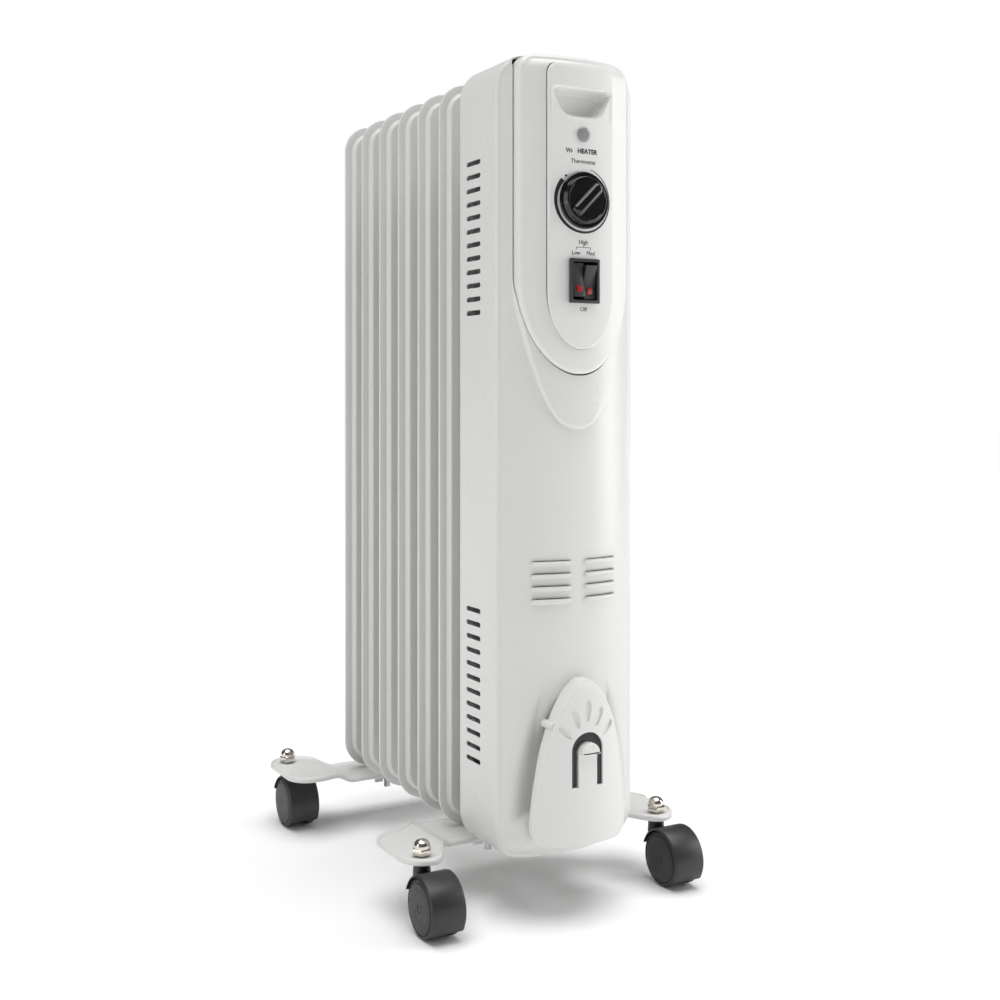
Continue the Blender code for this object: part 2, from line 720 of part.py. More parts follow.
def knob_and_thermostat():
    origin = Vector((0, FASCIA_FRONT - 0.5 * MM, KNOB_Z))
    profile = [
        (0, 5.6 * MM),
        (14.9 * MM, 5.6 * MM),
        (KNOB_FACE_RADIUS, 4.6 * MM),
        (17.2 * MM, 1.8 * MM),
        (KNOB_SKIRT_RADIUS - 0.6 * MM, 1.6 * MM),
        (KNOB_SKIRT_RADIUS, 1 * MM),
        (KNOB_SKIRT_RADIUS, 0),
        (0, 0),
    ]
    knob = turned("thermostat_knob", profile, "Y", 28)
    bar = rounded_rectangle(-3.6 * MM, 3.6 * MM, -14.6 * MM, 14.6 * MM, 3 * MM, 3)
    grip = slab("knob_grip", bar, "Y", -8.8 * MM, -5 * MM, 0.8 * MM)
    grip.rotation_euler.y = math.radians(45)
    bore = slab("knob_bore", circle((0, 0), SHAFT_RADIUS + GAP, 12), "Y", -4 * MM, 9 * MM)
    join(knob, grip)
    cut(knob, bore)
    for piece in (knob, grip, bore):
        piece.location = origin
    part(knob, "black_gloss_plastic")
    shaft = slab("thermostat_shaft", circle((0, 0), SHAFT_RADIUS, 12), "Y", -3.6 * MM, 26 * MM)
    shaft.location = origin
    part(shaft, "brass")
    body_front = FASCIA_FRONT + 18 * MM
    body = block(
        "thermostat_body",
        (-17 * MM, body_front, KNOB_Z - 17 * MM),
        (17 * MM, body_front + 20 * MM, KNOB_Z + 17 * MM),
    )
    bush = slab("bush", circle((0, KNOB_Z), 6 * MM, 12), "Y", body_front - 5 * MM, body_front + 2 * MM)
    bush_hole = circle((0, KNOB_Z), SHAFT_RADIUS + RUNNING_GAP, 12)
    join(body, bush)
    cut(body, slab("bush_hole", bush_hole, "Y", body_front - 9 * MM, body_front + 12 * MM))
    part(body, "phenolic")


def switch():
    face = FASCIA_FRONT - GAP
    bezel = slab("switch_bezel", switch_outline(0), "Y", face - 2.6 * MM, face, 0.8 * MM)
    join(bezel, slab("switch_case", switch_outline(-CASE_INSET), "Y", face - 1 * MM, face + 16 * MM))
    cut(bezel, slab("rocker_well", switch_outline(-2.3 * MM), "Y", face - 9 * MM, face + 13 * MM))
    part(bezel, "black_gloss_plastic")
    rocker_shape = [
        (-6.5, 12.4),
        (-5.2, 6),
        (-4.6, 0),
        (-5.2, -6),
        (-6.5, -12.4),
        (-2, -12.4),
        (4, -4),
        (4, 4),
        (-2, 12.4),
    ]
    outline = [(y * MM, z * MM) for y, z in rocker_shape]
    pocket_low = (-2.6 * MM, -9 * MM, -9.5 * MM)
    pocket_high = (2.6 * MM, -4.4 * MM, -3.5 * MM)
    for name, side, tilt in (("left", -1, -ROCKER_TILT), ("right", 1, ROCKER_TILT)):
        origin = (side * (ROCKER_WIDTH / 2 + GAP / 2), ROCKER_Y, SWITCH_Z)
        half = ROCKER_WIDTH / 2
        rocker = slab(f"rocker_{name}", outline, "X", -half, half)
        pocket = block("lens_pocket", pocket_low, pocket_high)
        cut(rocker, pocket)
        lens_low = [low + GAP for low in pocket_low]
        lens_high = [high - GAP for high in pocket_high]
        lens_low[1] = -6 * MM
        lens = block(f"rocker_lens_{name}", lens_low, lens_high)
        for piece in (rocker, pocket, lens):
            piece.location = origin
            piece.rotation_euler.x = math.radians(tilt)
        part(rocker, "black_gloss_plastic")
        part(lens, "red_lens")


# Cord bracket


def bracket_front(x, z):
    return BRACKET_FRONT + BRACKET_BOW * (abs(x) / BRACKET_HALF) ** 2.1


def cord_bracket():
    shape = [(10, 26), (12, 33), (16, 38), (24, 40), (45, 38.4), (65, 35), (80, 31.8), (95, 27)]
    shape += [(106, 22.6), (116, 17.2), (124, 11.6), (130, 5.5), (132, 2)]
    rows = [(FIN_BOTTOM + z * MM, half * MM) for z, half in shape]
    columns = [-1, -0.75, -0.45, -0.15, 0.15, 0.45, 0.75, 1]
    bracket = bowed_shell("cord_bracket", rows, bracket_front, columns, BRACKET_THICK)
    shelf = [(-25, 76), (-14, 70.5), (14, 70.5), (25, 76), (25, 81.9), (14, 85.8), (0, 87.2)]
    shelf += [(-14, 85.8), (-25, 81.9)]
    outline = [(x * MM, FIRST_FIN_Y - y * MM) for x, y in shelf]
    join(bracket, slab("shelf", outline, "Z", BRACKET_BOTTOM, BRACKET_BOTTOM + 3 * MM))
    for x in (-POST_X, POST_X):
        front = bracket_front(x, POST_Z) + BRACKET_THICK / 2
        rear = cover_front(x, POST_Z) - POST_CLEARANCE
        join(bracket, slab("post", circle((x, POST_Z), POST_RADIUS, 12), "Y", front, rear))
    loop = arc((0, FIN_BOTTOM + 82 * MM), 13 * MM, 0, 180, 8)
    loop += [(-13 * MM, FIN_BOTTOM + 56 * MM), (-7.7 * MM, FIN_BOTTOM + 56 * MM)]
    loop += arc((0, FIN_BOTTOM + 80 * MM), 7.7 * MM, 180, 0, 6)
    loop += [(7.7 * MM, FIN_BOTTOM + 56 * MM), (13 * MM, FIN_BOTTOM + 56 * MM)]
    cut(bracket, slab("tongue_slot", loop, "Y", BRACKET_FRONT - 9 * MM, BRACKET_FRONT + 9 * MM))
    head = arc((0, FIN_BOTTOM + 80 * MM), 9 * MM, -10, 190, 8)
    head_rear = BRACKET_FRONT + BRACKET_THICK - 0.5 * MM
    join(bracket, slab("tongue_head", head, "Y", BRACKET_HEAD_FRONT, head_rear))
    part(bracket, "white_plastic")


# Foot bars


def foot_bar(name, bar_y, plate_y, holes):
    """A pressed channel that steps up and widens into a plate at each end."""
    corner = 20 * MM
    stations = [-FOOT_END + corner * (1 - math.cos(math.radians(a))) for a in (0, 20, 45, 70, 90)]
    stations += [-STEP_END - 4 * MM, -STEP_END, -72.5 * MM, -STEP_START, -40 * MM]
    stations += [-x for x in reversed(stations)]
    work = bmesh.new()
    rows = []
    for x in stations:
        share = smoothstep((abs(x) - STEP_START) / (STEP_END - STEP_START))
        top = BAR_TOP + (PLATE_TOP - BAR_TOP) * share
        spread = smoothstep((abs(x) - STEP_START) / (FOOT_END - corner - STEP_START))
        low, high = [bar + (plate - bar) * spread for bar, plate in zip(bar_y, plate_y)]
        back = drop(FOOT_END - abs(x), corner)
        low, high = low + back, high - back
        section = [
            (low, top - FOOT_LIP),
            (low, top - 1.6 * MM),
            (low + 1.6 * MM, top),
            (low + 12 * MM, top),
            (high - 12 * MM, top),
            (high - 1.6 * MM, top),
            (high, top - 1.6 * MM),
            (high, top - FOOT_LIP),
        ]
        rows.append([work.verts.new((x, y, z)) for y, z in section])
    for first, second in zip(rows, rows[1:]):
        for i in range(len(first) - 1):
            work.faces.new((first[i], second[i], second[i + 1], first[i + 1]))
    for row in (rows[0], rows[-1]):
        lip = [work.verts.new((v.co.x, v.co.y, row[0].co.z)) for v in row[1:-1]]
        ring = [row[0]] + lip + [row[-1]]
        for i in range(len(row) - 1):
            corners = [row[i], row[i + 1], ring[i + 1], ring[i]]
            work.faces.new(list(dict.fromkeys(corners)))
    bmesh.ops.recalc_face_normals(work, faces=work.faces)
    if rows[5][3].link_faces[0].normal.z < 0:
        bmesh.ops.reverse_faces(work, faces=work.faces)
    mesh = bpy.data.meshes.new(name)
    work.to_mesh(mesh)
    work.free()
    sheet = bpy.data.objects.new(name, mesh)
    bpy.context.scene.collection.objects.link(sheet)
    wall = sheet.modifiers.new("wall", "SOLIDIFY")
    wall.thickness = FOOT_SHEET
    wall.offset = -1
    mesh = evaluated_mesh(sheet)
    bpy.data.objects.remove(sheet)
    foot = solid_object(name, mesh)
    for x, y, radius in holes:
        hole = circle((x, y), radius + GAP, 12)
        cut(foot, slab("foot_hole", hole, "Z", FIN_BOTTOM - 20 * MM, FIN_BOTTOM + 20 * MM))
    part(foot, "white_enamel")


def foot_fixing(end, y):
    """A bolt bent over the pipe between two fins, with a wing nut under each leg."""
    reach = BOSS_RADIUS + BOLT_RADIUS + 2 * GAP
    top = arc((0, LOWER_GALLERY_Z), reach, 0, 180, 8)
    bottom = BAR_TOP - 16 * MM
    points = [(reach, y, bottom)] + [(x, y, z) for x, z in top] + [(-reach, y, bottom)]
    part(tube(f"{end}_u_bolt", points, BOLT_RADIUS), "zinc_plated_steel")
    profile = [
        (5 * MM, 0),
        (6 * MM, -4 * MM),
        (6 * MM, -6 * MM),
        (BOLT_RADIUS + GAP, -6 * MM),
        (BOLT_RADIUS + GAP, 0),
    ]
    for side, x in (("left", -reach), ("right", reach)):
        nut = turned(f"{end}_{side}_wing_nut", profile, "Z", 12)
        nut.location = (x, y, BAR_TOP - FOOT_SHEET - GAP)
        for sign in (-1, 1):
            wing = block(
                "wing",
                (sign * 4.5 * MM, -1.2 * MM, -9 * MM),
                (sign * 12 * MM, 1.2 * MM, -2 * MM),
            )
            wing.location = nut.location
            join(nut, wing)
        part(nut, "zinc_plated_steel")
    return [(-reach, y, BOLT_RADIUS), (reach, y, BOLT_RADIUS)]


# Casters


def wheel_mesh():
    """One wheel, its outer face towards +X, about its own centre."""
    outer = WHEEL_OUTER - WHEEL_INNER
    bore = AXLE_RADIUS + RUNNING_GAP
    tread = WHEEL_RADIUS / math.cos(math.pi / WHEEL_FACETS)
    profile = [
        (bore, outer - 1.4 * MM),
        (19 * MM, outer),
        (tread, outer - 1.6 * MM),
        (tread, 0),
        (bore, 0),
    ]
    bored = turned("wheel", profile, "X", WHEEL_FACETS)
    mesh = bored.data
    bpy.data.objects.remove(bored)
    return mesh


def hood_mesh():
    """The caster's hood about its stem's axis, with its wheels trailing towards -Y."""
    axle = (-WHEEL_TRAIL, WHEEL_RADIUS)
    outer = arc(axle, HOOD_RADIUS, 20, 215, 10)
    inner = arc(axle, HOOD_RADIUS - HOOD_WALL, 215, 20, 10)
    hood = slab("hood", outer + inner, "X", -HOOD_HALF, HOOD_HALF)
    web = arc(axle, HOOD_RADIUS - 0.8 * MM, 0, 215, 10) + arc(axle, 6 * MM, 250, 330, 3)
    join(hood, slab("web", web, "X", 0.6 * MM - WHEEL_INNER, WHEEL_INNER - 0.6 * MM))
    socket = NECK_BOTTOM + 1.5 * MM
    neck_top = PLATE_TOP - FOOT_SHEET - 1 * MM
    neck = slab("neck", circle((0, 0), 6 * MM, 16), "Z", NECK_BOTTOM, neck_top)
    join(hood, neck)
    cut(
        hood,
        slab("stem_socket", circle((0, 0), STEM_RADIUS + RUNNING_GAP, 12), "Z", socket, 60 * MM),
        slab("axle_hole", circle(axle, AXLE_RADIUS + GAP, 12), "X", -9 * MM, 9 * MM),
    )
    return bake(hood)


def dome_nut_mesh():
    """A hexagon with a domed cap, hollow for the stem."""
    nut = slab("nut", circle((0, 0), 7.5 * MM, 6), "Z", 0, 5.5 * MM, 0.6 * MM)
    dome = [(6 * MM * math.sin(a), 5 * MM + 6.5 * MM * math.cos(a)) for a in (0, 0.5, 1)]
    dome += [(6 * MM, 5 * MM), (6 * MM, 3 * MM), (0, 3 * MM)]
    join(nut, turned("dome", dome, "Z", 12))
    cut(nut, slab("thread", circle((0, 0), STEM_RADIUS + GAP, 12), "Z", -3 * MM, 6 * MM))
    return bake(nut)


def simple_mesh(obj):
    mesh = obj.data
    bpy.data.objects.remove(obj)
    return mesh


def casters():
    wheel = wheel_mesh()
    hood = hood_mesh()
    nut = dome_nut_mesh()
    pin_low = NECK_BOTTOM + 1.8 * MM
    pin_high = PLATE_TOP + 5.5 * MM
    pin = simple_mesh(slab("pin", circle((0, 0), STEM_RADIUS, 12), "Z", pin_low, pin_high))
    reach = WHEEL_OUTER - 2.5 * MM
    axle = simple_mesh(slab("axle", circle((0, 0), AXLE_RADIUS, 12), "X", -reach, reach))
    for end, stem_y in (("front", FRONT_STEM_Y), ("rear", REAR_STEM_Y)):
        for side, stem_x in (("left", -STEM_X), ("right", STEM_X)):
            where = f"{end}_{side}"
            swivel = bpy.data.objects.new(f"{where}_swivel", None)
            swivel.location = (stem_x, stem_y, 0)
            PARTS.objects.link(swivel)
            centre = Vector((stem_x, stem_y - WHEEL_TRAIL, WHEEL_RADIUS))
            placed(hood, f"{where}_caster_hood", "black_nylon", swivel.location, 0, swivel)
            placed(axle, f"{where}_axle", "zinc_plated_steel", centre, 0, swivel)
            outer = centre + Vector((WHEEL_INNER, 0, 0))
            inner = centre - Vector((WHEEL_INNER, 0, 0))
            placed(wheel, f"{where}_wheel_a", "black_nylon", inner, math.pi, swivel)
            placed(wheel, f"{where}_wheel_b", "black_nylon", outer, 0, swivel)
            placed(pin, f"{where}_stem", "zinc_plated_steel", (stem_x, stem_y, 0))
            top = (stem_x, stem_y, PLATE_TOP + GAP)
            placed(nut, f"{where}_cap_nut", "nickel_plate", top)


def feet():
    middle = FIN_PITCH / 2
    front = foot_fixing("front", FIRST_FIN_Y + middle)
    rear = foot_fixing("rear", LAST_FIN_Y - middle)
    stems = [(-STEM_X, FRONT_STEM_Y, STEM_RADIUS), (STEM_X, FRONT_STEM_Y, STEM_RADIUS)]
    foot_bar("front_foot_bar", FRONT_BAR_Y, FRONT_PLATE_Y, front + stems)
    stems = [(-STEM_X, REAR_STEM_Y, STEM_RADIUS), (STEM_X, REAR_STEM_Y, STEM_RADIUS)]
    foot_bar("rear_foot_bar", REAR_BAR_Y, REAR_PLATE_Y, rear + stems)


clear_scene()
PARTS = collection("oil_filled_radiator_heater")
CUTTERS = collection("cutters")
fins()
heating_element()
front_cover()
inside_the_cover()
control_housing()
pilot_lamp()
knob_and_thermostat()
switch()
cord_bracket()
feet()
casters()
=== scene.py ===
"""Looks of the oil filled radiator heater, over its frame. Metres, +Z up, front towards -Y."""

import math

import bmesh
import bpy
from mathutils import Matrix, Vector


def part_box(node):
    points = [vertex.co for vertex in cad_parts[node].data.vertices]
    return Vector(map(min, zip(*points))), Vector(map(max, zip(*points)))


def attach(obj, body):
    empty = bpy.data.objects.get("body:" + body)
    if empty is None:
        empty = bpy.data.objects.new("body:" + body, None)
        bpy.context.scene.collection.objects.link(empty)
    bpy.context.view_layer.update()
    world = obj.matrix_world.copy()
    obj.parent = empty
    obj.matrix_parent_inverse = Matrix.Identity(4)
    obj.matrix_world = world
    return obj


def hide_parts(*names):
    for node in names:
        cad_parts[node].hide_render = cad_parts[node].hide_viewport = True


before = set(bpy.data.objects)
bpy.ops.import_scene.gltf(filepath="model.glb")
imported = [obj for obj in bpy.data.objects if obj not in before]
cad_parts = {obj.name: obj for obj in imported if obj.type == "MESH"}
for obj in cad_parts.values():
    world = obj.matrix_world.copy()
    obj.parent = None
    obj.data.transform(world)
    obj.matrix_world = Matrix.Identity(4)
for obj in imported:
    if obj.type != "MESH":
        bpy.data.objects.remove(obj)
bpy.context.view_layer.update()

MM = 0.001
SIDES = (("left", -1), ("right", 1))

# Fins
FIN_COUNT = 7
FIN_LOW, FIN_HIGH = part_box("fin_2")
FIN_MIDDLE = [(low.y + high.y) / 2 for low, high in [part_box("fin_2"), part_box("fin_3")]]
FIN_PITCH = FIN_MIDDLE[1] - FIN_MIDDLE[0]
FIRST_FIN_Y = FIN_MIDDLE[0] - FIN_PITCH
FIN_CORNER = 24 * MM
FIN_BOTTOM = FIN_LOW.z
FIN_TOP = FIN_HIGH.z
PIPE_Z = (FIN_BOTTOM + 42 * MM, FIN_TOP - 42 * MM)

# Front cover
COVER_LOW, COVER_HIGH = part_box("front_cover")
COVER_HALF = COVER_HIGH.x
COVER_CORNER = 25 * MM
COVER_BOW = 106 * MM
COVER_EDGE = 3 * MM
SHEET = 1.2 * MM
SLOT_Y = (FIRST_FIN_Y - 34 * MM, FIRST_FIN_Y - 12 * MM)
SLOT_HEIGHT = 3.7 * MM
SLOT_PITCH = 10.05 * MM
SLOT_ROWS = 12
SLOT_LOWEST = (FIN_BOTTOM + 67.5 * MM, FIN_BOTTOM + 397 * MM)
LOUVRE_LOWEST = FIN_BOTTOM + 188 * MM
LOUVRE_PITCH = 9 * MM
LOUVRE_ROWS = 4
RECESS = {
    "half": 52 * MM,
    "low": FIN_BOTTOM + 27 * MM,
    "high": FIN_BOTTOM + 130 * MM,
    "depth": 7 * MM,
}
CREASE_LOW = FIN_BOTTOM + 312 * MM
CREASE_HIGH = FIN_BOTTOM + 400 * MM
CREASE_HALF = 46.8 * MM
CREASE_POWER = 0.4
CREASE_RISE = 2.9 * MM
CREASE_RUN = 2.2 * MM
COVER_TOP_ROUND = 14 * MM
COVER_FOOT_ROUND = 27 * MM

# Control housing and fascia
HOUSING_LOW, HOUSING_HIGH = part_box("control_housing")
FASCIA_LOW, FASCIA_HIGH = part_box("fascia_panel")
GRIP_LOW = FIN_BOTTOM + 536 * MM
GRIP_HIGH = FIN_BOTTOM + 557 * MM
LAMP_Z = FIN_BOTTOM + 524 * MM
KNOB_Z = FIN_BOTTOM + 476.5 * MM
SWITCH_Z = FIN_BOTTOM + 418.5 * MM
FASCIA_BOW = 150 * MM
ROCKER_X = 4.95 * MM
ROCKER_TILT = 8


# Shapes


def arc(centre, radius, start, end, steps):
    """Points on a circle from start to end, in degrees."""
    angles = [math.radians(start + (end - start) * i / steps) for i in range(steps + 1)]
    return [(centre[0] + radius * math.cos(a), centre[1] + radius * math.sin(a)) for a in angles]


def circle(centre, radius, steps=48):
    return arc(centre, radius, 0, 360, steps)[:-1]


def rounded_rectangle(left, right, low, high, radius, steps=8):
    return (
        arc((right - radius, low + radius), radius, -90, 0, steps)
        + arc((right - radius, high - radius), radius, 0, 90, steps)
        + arc((left + radius, high - radius), radius, 90, 180, steps)
        + arc((left + radius, low + radius), radius, 180, 270, steps)
    )


def smooth(value):
    t = min(1.0, max(0.0, value))
    return t * t * (3 - 2 * t)


def bow(x, radius):
    return radius - math.sqrt(radius**2 - x**2)


def drop(distance, radius):
    """How far a rounded edge has fallen back at this distance from its end."""
    if distance >= radius:
        return 0.0
    return radius - math.sqrt(max(0.0, radius**2 - (radius - distance) ** 2))


def spread(start, end, pitch):
    """Evenly spaced values from start to end, both included, about a pitch apart."""
    steps = max(1, round(abs(end - start) / pitch))
    return [start + (end - start) * i / steps for i in range(steps + 1)]


def grown(outline, distance):
    """A closed counter-clockwise outline in the XZ plane, moved outwards along its normals."""
    moved = []
    neighbours = zip(outline[-1:] + outline[:-1], outline, outline[1:] + outline[:1])
    for before, point, after in neighbours:
        along = Vector((after[0] - before[0], after[1] - before[1])).normalized()
        moved.append((point[0] + along.y * distance, point[1] - along.x * distance))
    return moved


# Meshes


def ring(work, points):
    return [work.verts.new(point) for point in points]


def bridge(work, rings, closed=True):
    """Quads between each ring and the next."""
    for first, second in zip(rings, rings[1:]):
        count = len(first)
        for i in range(count if closed else count - 1):
            j = (i + 1) % count
            work.faces.new((first[i], first[j], second[j], second[i]))


def fill(work, *rings):
    """A flat face inside the first ring and outside the others."""
    edges = []
    for verts in rings:
        for first, second in zip(verts, verts[1:] + verts[:1]):
            edges.append(work.edges.get((first, second)) or work.edges.new((first, second)))
    bmesh.ops.triangle_fill(work, use_beauty=True, use_dissolve=False, edges=edges)


def shade(mesh, angle=30):
    mesh.shade_smooth()
    mesh.set_sharp_from_angle(angle=math.radians(angle))


def shown(name, mesh):
    obj = bpy.data.objects.new(name, mesh)
    bpy.context.scene.collection.objects.link(obj)
    return obj


def finished(name, work, angle=30, merge=1e-6):
    """The object of a closed bmesh, with its doubles merged and its faces pointing outwards."""
    bmesh.ops.remove_doubles(work, verts=work.verts, dist=merge)
    bmesh.ops.recalc_face_normals(work, faces=work.faces)
    mesh = bpy.data.meshes.new(name)
    work.to_mesh(mesh)
    work.free()
    shade(mesh, angle)
    return shown(name, mesh)


def applied(obj, angle=30):
    """The object with its modifiers made part of its mesh."""
    bpy.context.view_layer.update()
    graph = bpy.context.evaluated_depsgraph_get()
    mesh = bpy.data.meshes.new_from_object(obj.evaluated_get(graph))
    obj.modifiers.clear()
    obj.data = mesh
    shade(mesh, angle)
    return obj


def boolean(obj, tool, operation="DIFFERENCE"):
    """Cuts with, or adds, a tool that is then removed."""
    modifier = obj.modifiers.new("boolean", "BOOLEAN")
    modifier.operation = operation
    modifier.solver = "MANIFOLD"
    modifier.object = tool
    applied(obj)
    bpy.data.objects.remove(tool)
    return obj


def bevelled(obj, width, segments=3, angle=40):
    modifier = obj.modifiers.new("edges", "BEVEL")
    modifier.width = width
    modifier.segments = segments
    modifier.limit_method = "ANGLE"
    modifier.angle_limit = math.radians(angle)
    modifier.use_clamp_overlap = True
    return applied(obj)


def lofted(name, rings, angle=30):
    """A closed solid through rings of equally many points, flat at both ends."""
    work = bmesh.new()
    loops = [ring(work, points) for points in rings]
    bridge(work, loops)
    work.faces.new(loops[0])
    work.faces.new(loops[-1])
    return finished(name, work, angle)


def slab(name, outline, axis, low, high, edge=0.0):
    """A flat outline given thickness along Y or X or Z, with its edges rounded."""
    place = {
        "X": lambda u, v, w: (w, u, v),
        "Y": lambda u, v, w: (u, w, v),
        "Z": lambda u, v, w: (u, v, w),
    }[axis]
    obj = lofted(name, [[place(u, v, w) for u, v in outline] for w in (low, high)])
    return bevelled(obj, edge) if edge else obj


def turned(name, profile, axis, centre, steps=64):
    """A solid of (radius, along) points turned about an axis through a centre."""
    turn = {
        "X": lambda r, a, w: (w, r * math.cos(a), r * math.sin(a)),
        "Y": lambda r, a, w: (r * math.cos(a), w, r * math.sin(a)),
        "Z": lambda r, a, w: (r * math.cos(a), r * math.sin(a), w),
    }[axis]
    work = bmesh.new()
    loops = []
    for radius, along in profile:
        if radius < 1e-6:
            loops.append([work.verts.new(turn(0, 0, along))])
            continue
        angles = [2 * math.pi * i / steps for i in range(steps)]
        loops.append(ring(work, [turn(radius, a, along) for a in angles]))
    if len(loops[0]) > 1 and len(loops[-1]) > 1:
        loops.append(loops[0])
    for first, second in zip(loops, loops[1:]):
        if len(first) == len(second):
            bridge(work, [first, second])
            continue
        point, loop = sorted((first, second), key=len)
        for i in range(steps):
            work.faces.new((loop[i], loop[(i + 1) % steps], point[0]))
    bmesh.ops.translate(work, vec=centre, verts=work.verts)
    return finished(name, work)


def joined(name, objects):
    """Several objects made one, each keeping its own materials."""
    with bpy.context.temp_override(
        active_object=objects[0], selected_editable_objects=objects, object=objects[0]
    ):
        bpy.ops.object.join()
    objects[0].name = name
    return objects[0]


# Finishes


def linear(code):
    """An sRGB hex colour as linear red, green, blue and alpha."""
    channels = [int(code[i : i + 2], 16) / 255 for i in (0, 2, 4)]
    return (*[c / 12.92 if c <= 0.04045 else ((c + 0.055) / 1.055) ** 2.4 for c in channels], 1)


def add(tree, kind, inputs=(), **settings):
    """A node with its settings, and its inputs set to a value or linked to another's output."""
    made = tree.nodes.new(kind)
    for name, value in settings.items():
        setattr(made, name, value)
    for name, value in dict(inputs).items():
        if isinstance(value, bpy.types.NodeSocket):
            tree.links.new(value, made.inputs[name])
        else:
            made.inputs[name].default_value = value
    return made


def finish(name, colour, roughness, metallic=0.0, sockets=()):
    """A material, its tree, its shader with constants on the sockets, and the coordinates."""
    made = bpy.data.materials.new(name)
    made.use_nodes = True
    tree = made.node_tree
    shader = tree.nodes["Principled BSDF"]
    constants = {"Base Color": linear(colour), "Roughness": roughness, "Metallic": metallic}
    for socket, value in (constants | dict(sockets)).items():
        shader.inputs[socket].default_value = value
    place = add(tree, "ShaderNodeTexCoord").outputs["Object"]
    return made, tree, shader, place


def surface(
    tree, shader, place, grain, roughness, height, colours=None, detail=2.0, stretch=(1, 1, 1)
):
    """Roughness, relief and a tint between two colours, all varying over the grain size."""
    laid = add(tree, "ShaderNodeMapping", {"Vector": place, "Scale": stretch}).outputs["Vector"]
    noise = add(tree, "ShaderNodeTexNoise", {"Vector": laid, "Scale": 1 / grain, "Detail": detail})
    spread_out = {"Value": noise.outputs["Fac"], "From Min": 0.3, "From Max": 0.7}
    gloss = add(
        tree, "ShaderNodeMapRange", spread_out | {"To Min": roughness[0], "To Max": roughness[1]}
    )
    tree.links.new(gloss.outputs["Result"], shader.inputs["Roughness"])
    relief = add(tree, "ShaderNodeBump", {"Height": noise.outputs["Fac"], "Distance": height})
    tree.links.new(relief.outputs["Normal"], shader.inputs["Normal"])
    if colours:
        blotches = {"Vector": laid, "Scale": 1 / (20 * grain), "Detail": 3.0}
        cloud = add(tree, "ShaderNodeTexNoise", blotches)
        first, second = [linear(code) for code in colours]
        tint = add(
            tree, "ShaderNodeMix", {0: cloud.outputs["Fac"], 6: first, 7: second}, data_type="RGBA"
        )
        tree.links.new(tint.outputs[2], shader.inputs["Base Color"])
    return noise


def powder_coated_steel():
    """Polyester powder baked on pressed steel: an even glossy white, whose faint orange peel of
    about 2.5 mm softens the edges of each reflection."""
    made, tree, shader, place = finish("powder_coated_steel", "DCDCDA", 0.3)
    surface(tree, shader, place, 2.5 * MM, (0.27, 0.36), 0.012 * MM, ("DBDBD9", "DEDEDC"))
    return made


def inside_painted_shade():
    """Painted shade: a matt, nearly black finish inside the cover that stands in for the shade of
    its enclosed inside, so that slots look dark.
    """
    made, tree, shader, place = finish("inside_painted_shade", "0B0B0C", 0.9)
    surface(tree, shader, place, 1.5 * MM, (0.8, 0.95), 0.02 * MM, ("080809", "101011"))
    return made


def moulded_white_abs():
    """ABS from a fine spark-eroded tool: white, a little warmer and softer in its shine than the
    enamel. The real grain of 0.3 mm is drawn at 0.8 mm so that it shows."""
    made, tree, shader, place = finish("moulded_white_abs", "E0E0DE", 0.36, sockets={"IOR": 1.54})
    surface(tree, shader, place, 0.8 * MM, (0.33, 0.42), 0.006 * MM, ("DFDFDD", "E2E2E0"), 3.0)
    return made


def polished_black_abs():
    """Black ABS from a polished tool: deep black with sharp highlights, and faint handling haze."""
    made, tree, shader, place = finish("polished_black_abs", "0A0A0B", 0.14, sockets={"IOR": 1.54})
    surface(tree, shader, place, 6 * MM, (0.1, 0.2), 0.004 * MM, ("090909", "0D0D0E"), 4.0)
    return made


def textured_black_abs():
    """Black ABS with a fine matt texture, as on a rocker switch: charcoal, with soft highlights."""
    made, tree, shader, place = finish("textured_black_abs", "2B2C2D", 0.42, sockets={"IOR": 1.54})
    surface(tree, shader, place, 0.6 * MM, (0.36, 0.5), 0.01 * MM, ("28292A", "2F3031"), 3.0)
    return made


def glass_filled_nylon():
    """Injection moulded nylon with glass fibre: near black, satin, with flow marks of about 1 mm
    that break up the highlights on the casters."""
    made, tree, shader, place = finish("glass_filled_nylon", "151516", 0.4, sockets={"IOR": 1.53})
    flow, tints = (1, 1, 0.5), ("202122", "2A2B2C")
    surface(tree, shader, place, 1 * MM, (0.33, 0.5), 0.012 * MM, tints, 4.0, flow)
    return made


def wheel_nylon():
    """The harder nylon of a wheel: dark grey, with a smooth tread that floors scuff a little."""
    made, tree, shader, place = finish("wheel_nylon", "1D1D1E", 0.45, sockets={"IOR": 1.53})
    surface(tree, shader, place, 1.4 * MM, (0.36, 0.6), 0.015 * MM, ("1A1A1B", "222223"), 5.0)
    return made


def bright_nickel_plate():
    """Bright nickel over a formed steel nut: a warm mirror, slightly wavy from the forming."""
    made, tree, shader, place = finish("bright_nickel_plate", "CFC9BF", 0.12, 1.0)
    surface(tree, shader, place, 3 * MM, (0.08, 0.2), 0.01 * MM, ("CBC5BB", "D4CFC6"))
    return made


def blue_zinc_plate():
    """Blue-passivated zinc on steel rod and pressings: cool satin grey, drawn along Y."""
    made, tree, shader, place = finish("blue_zinc_plate", "B7BCC2", 0.34, 1.0)
    drawn, tints = (1, 0.1, 1), ("B0B6BD", "C2C6CA")
    surface(tree, shader, place, 0.7 * MM, (0.26, 0.42), 0.008 * MM, tints, 3.0, drawn)
    return made


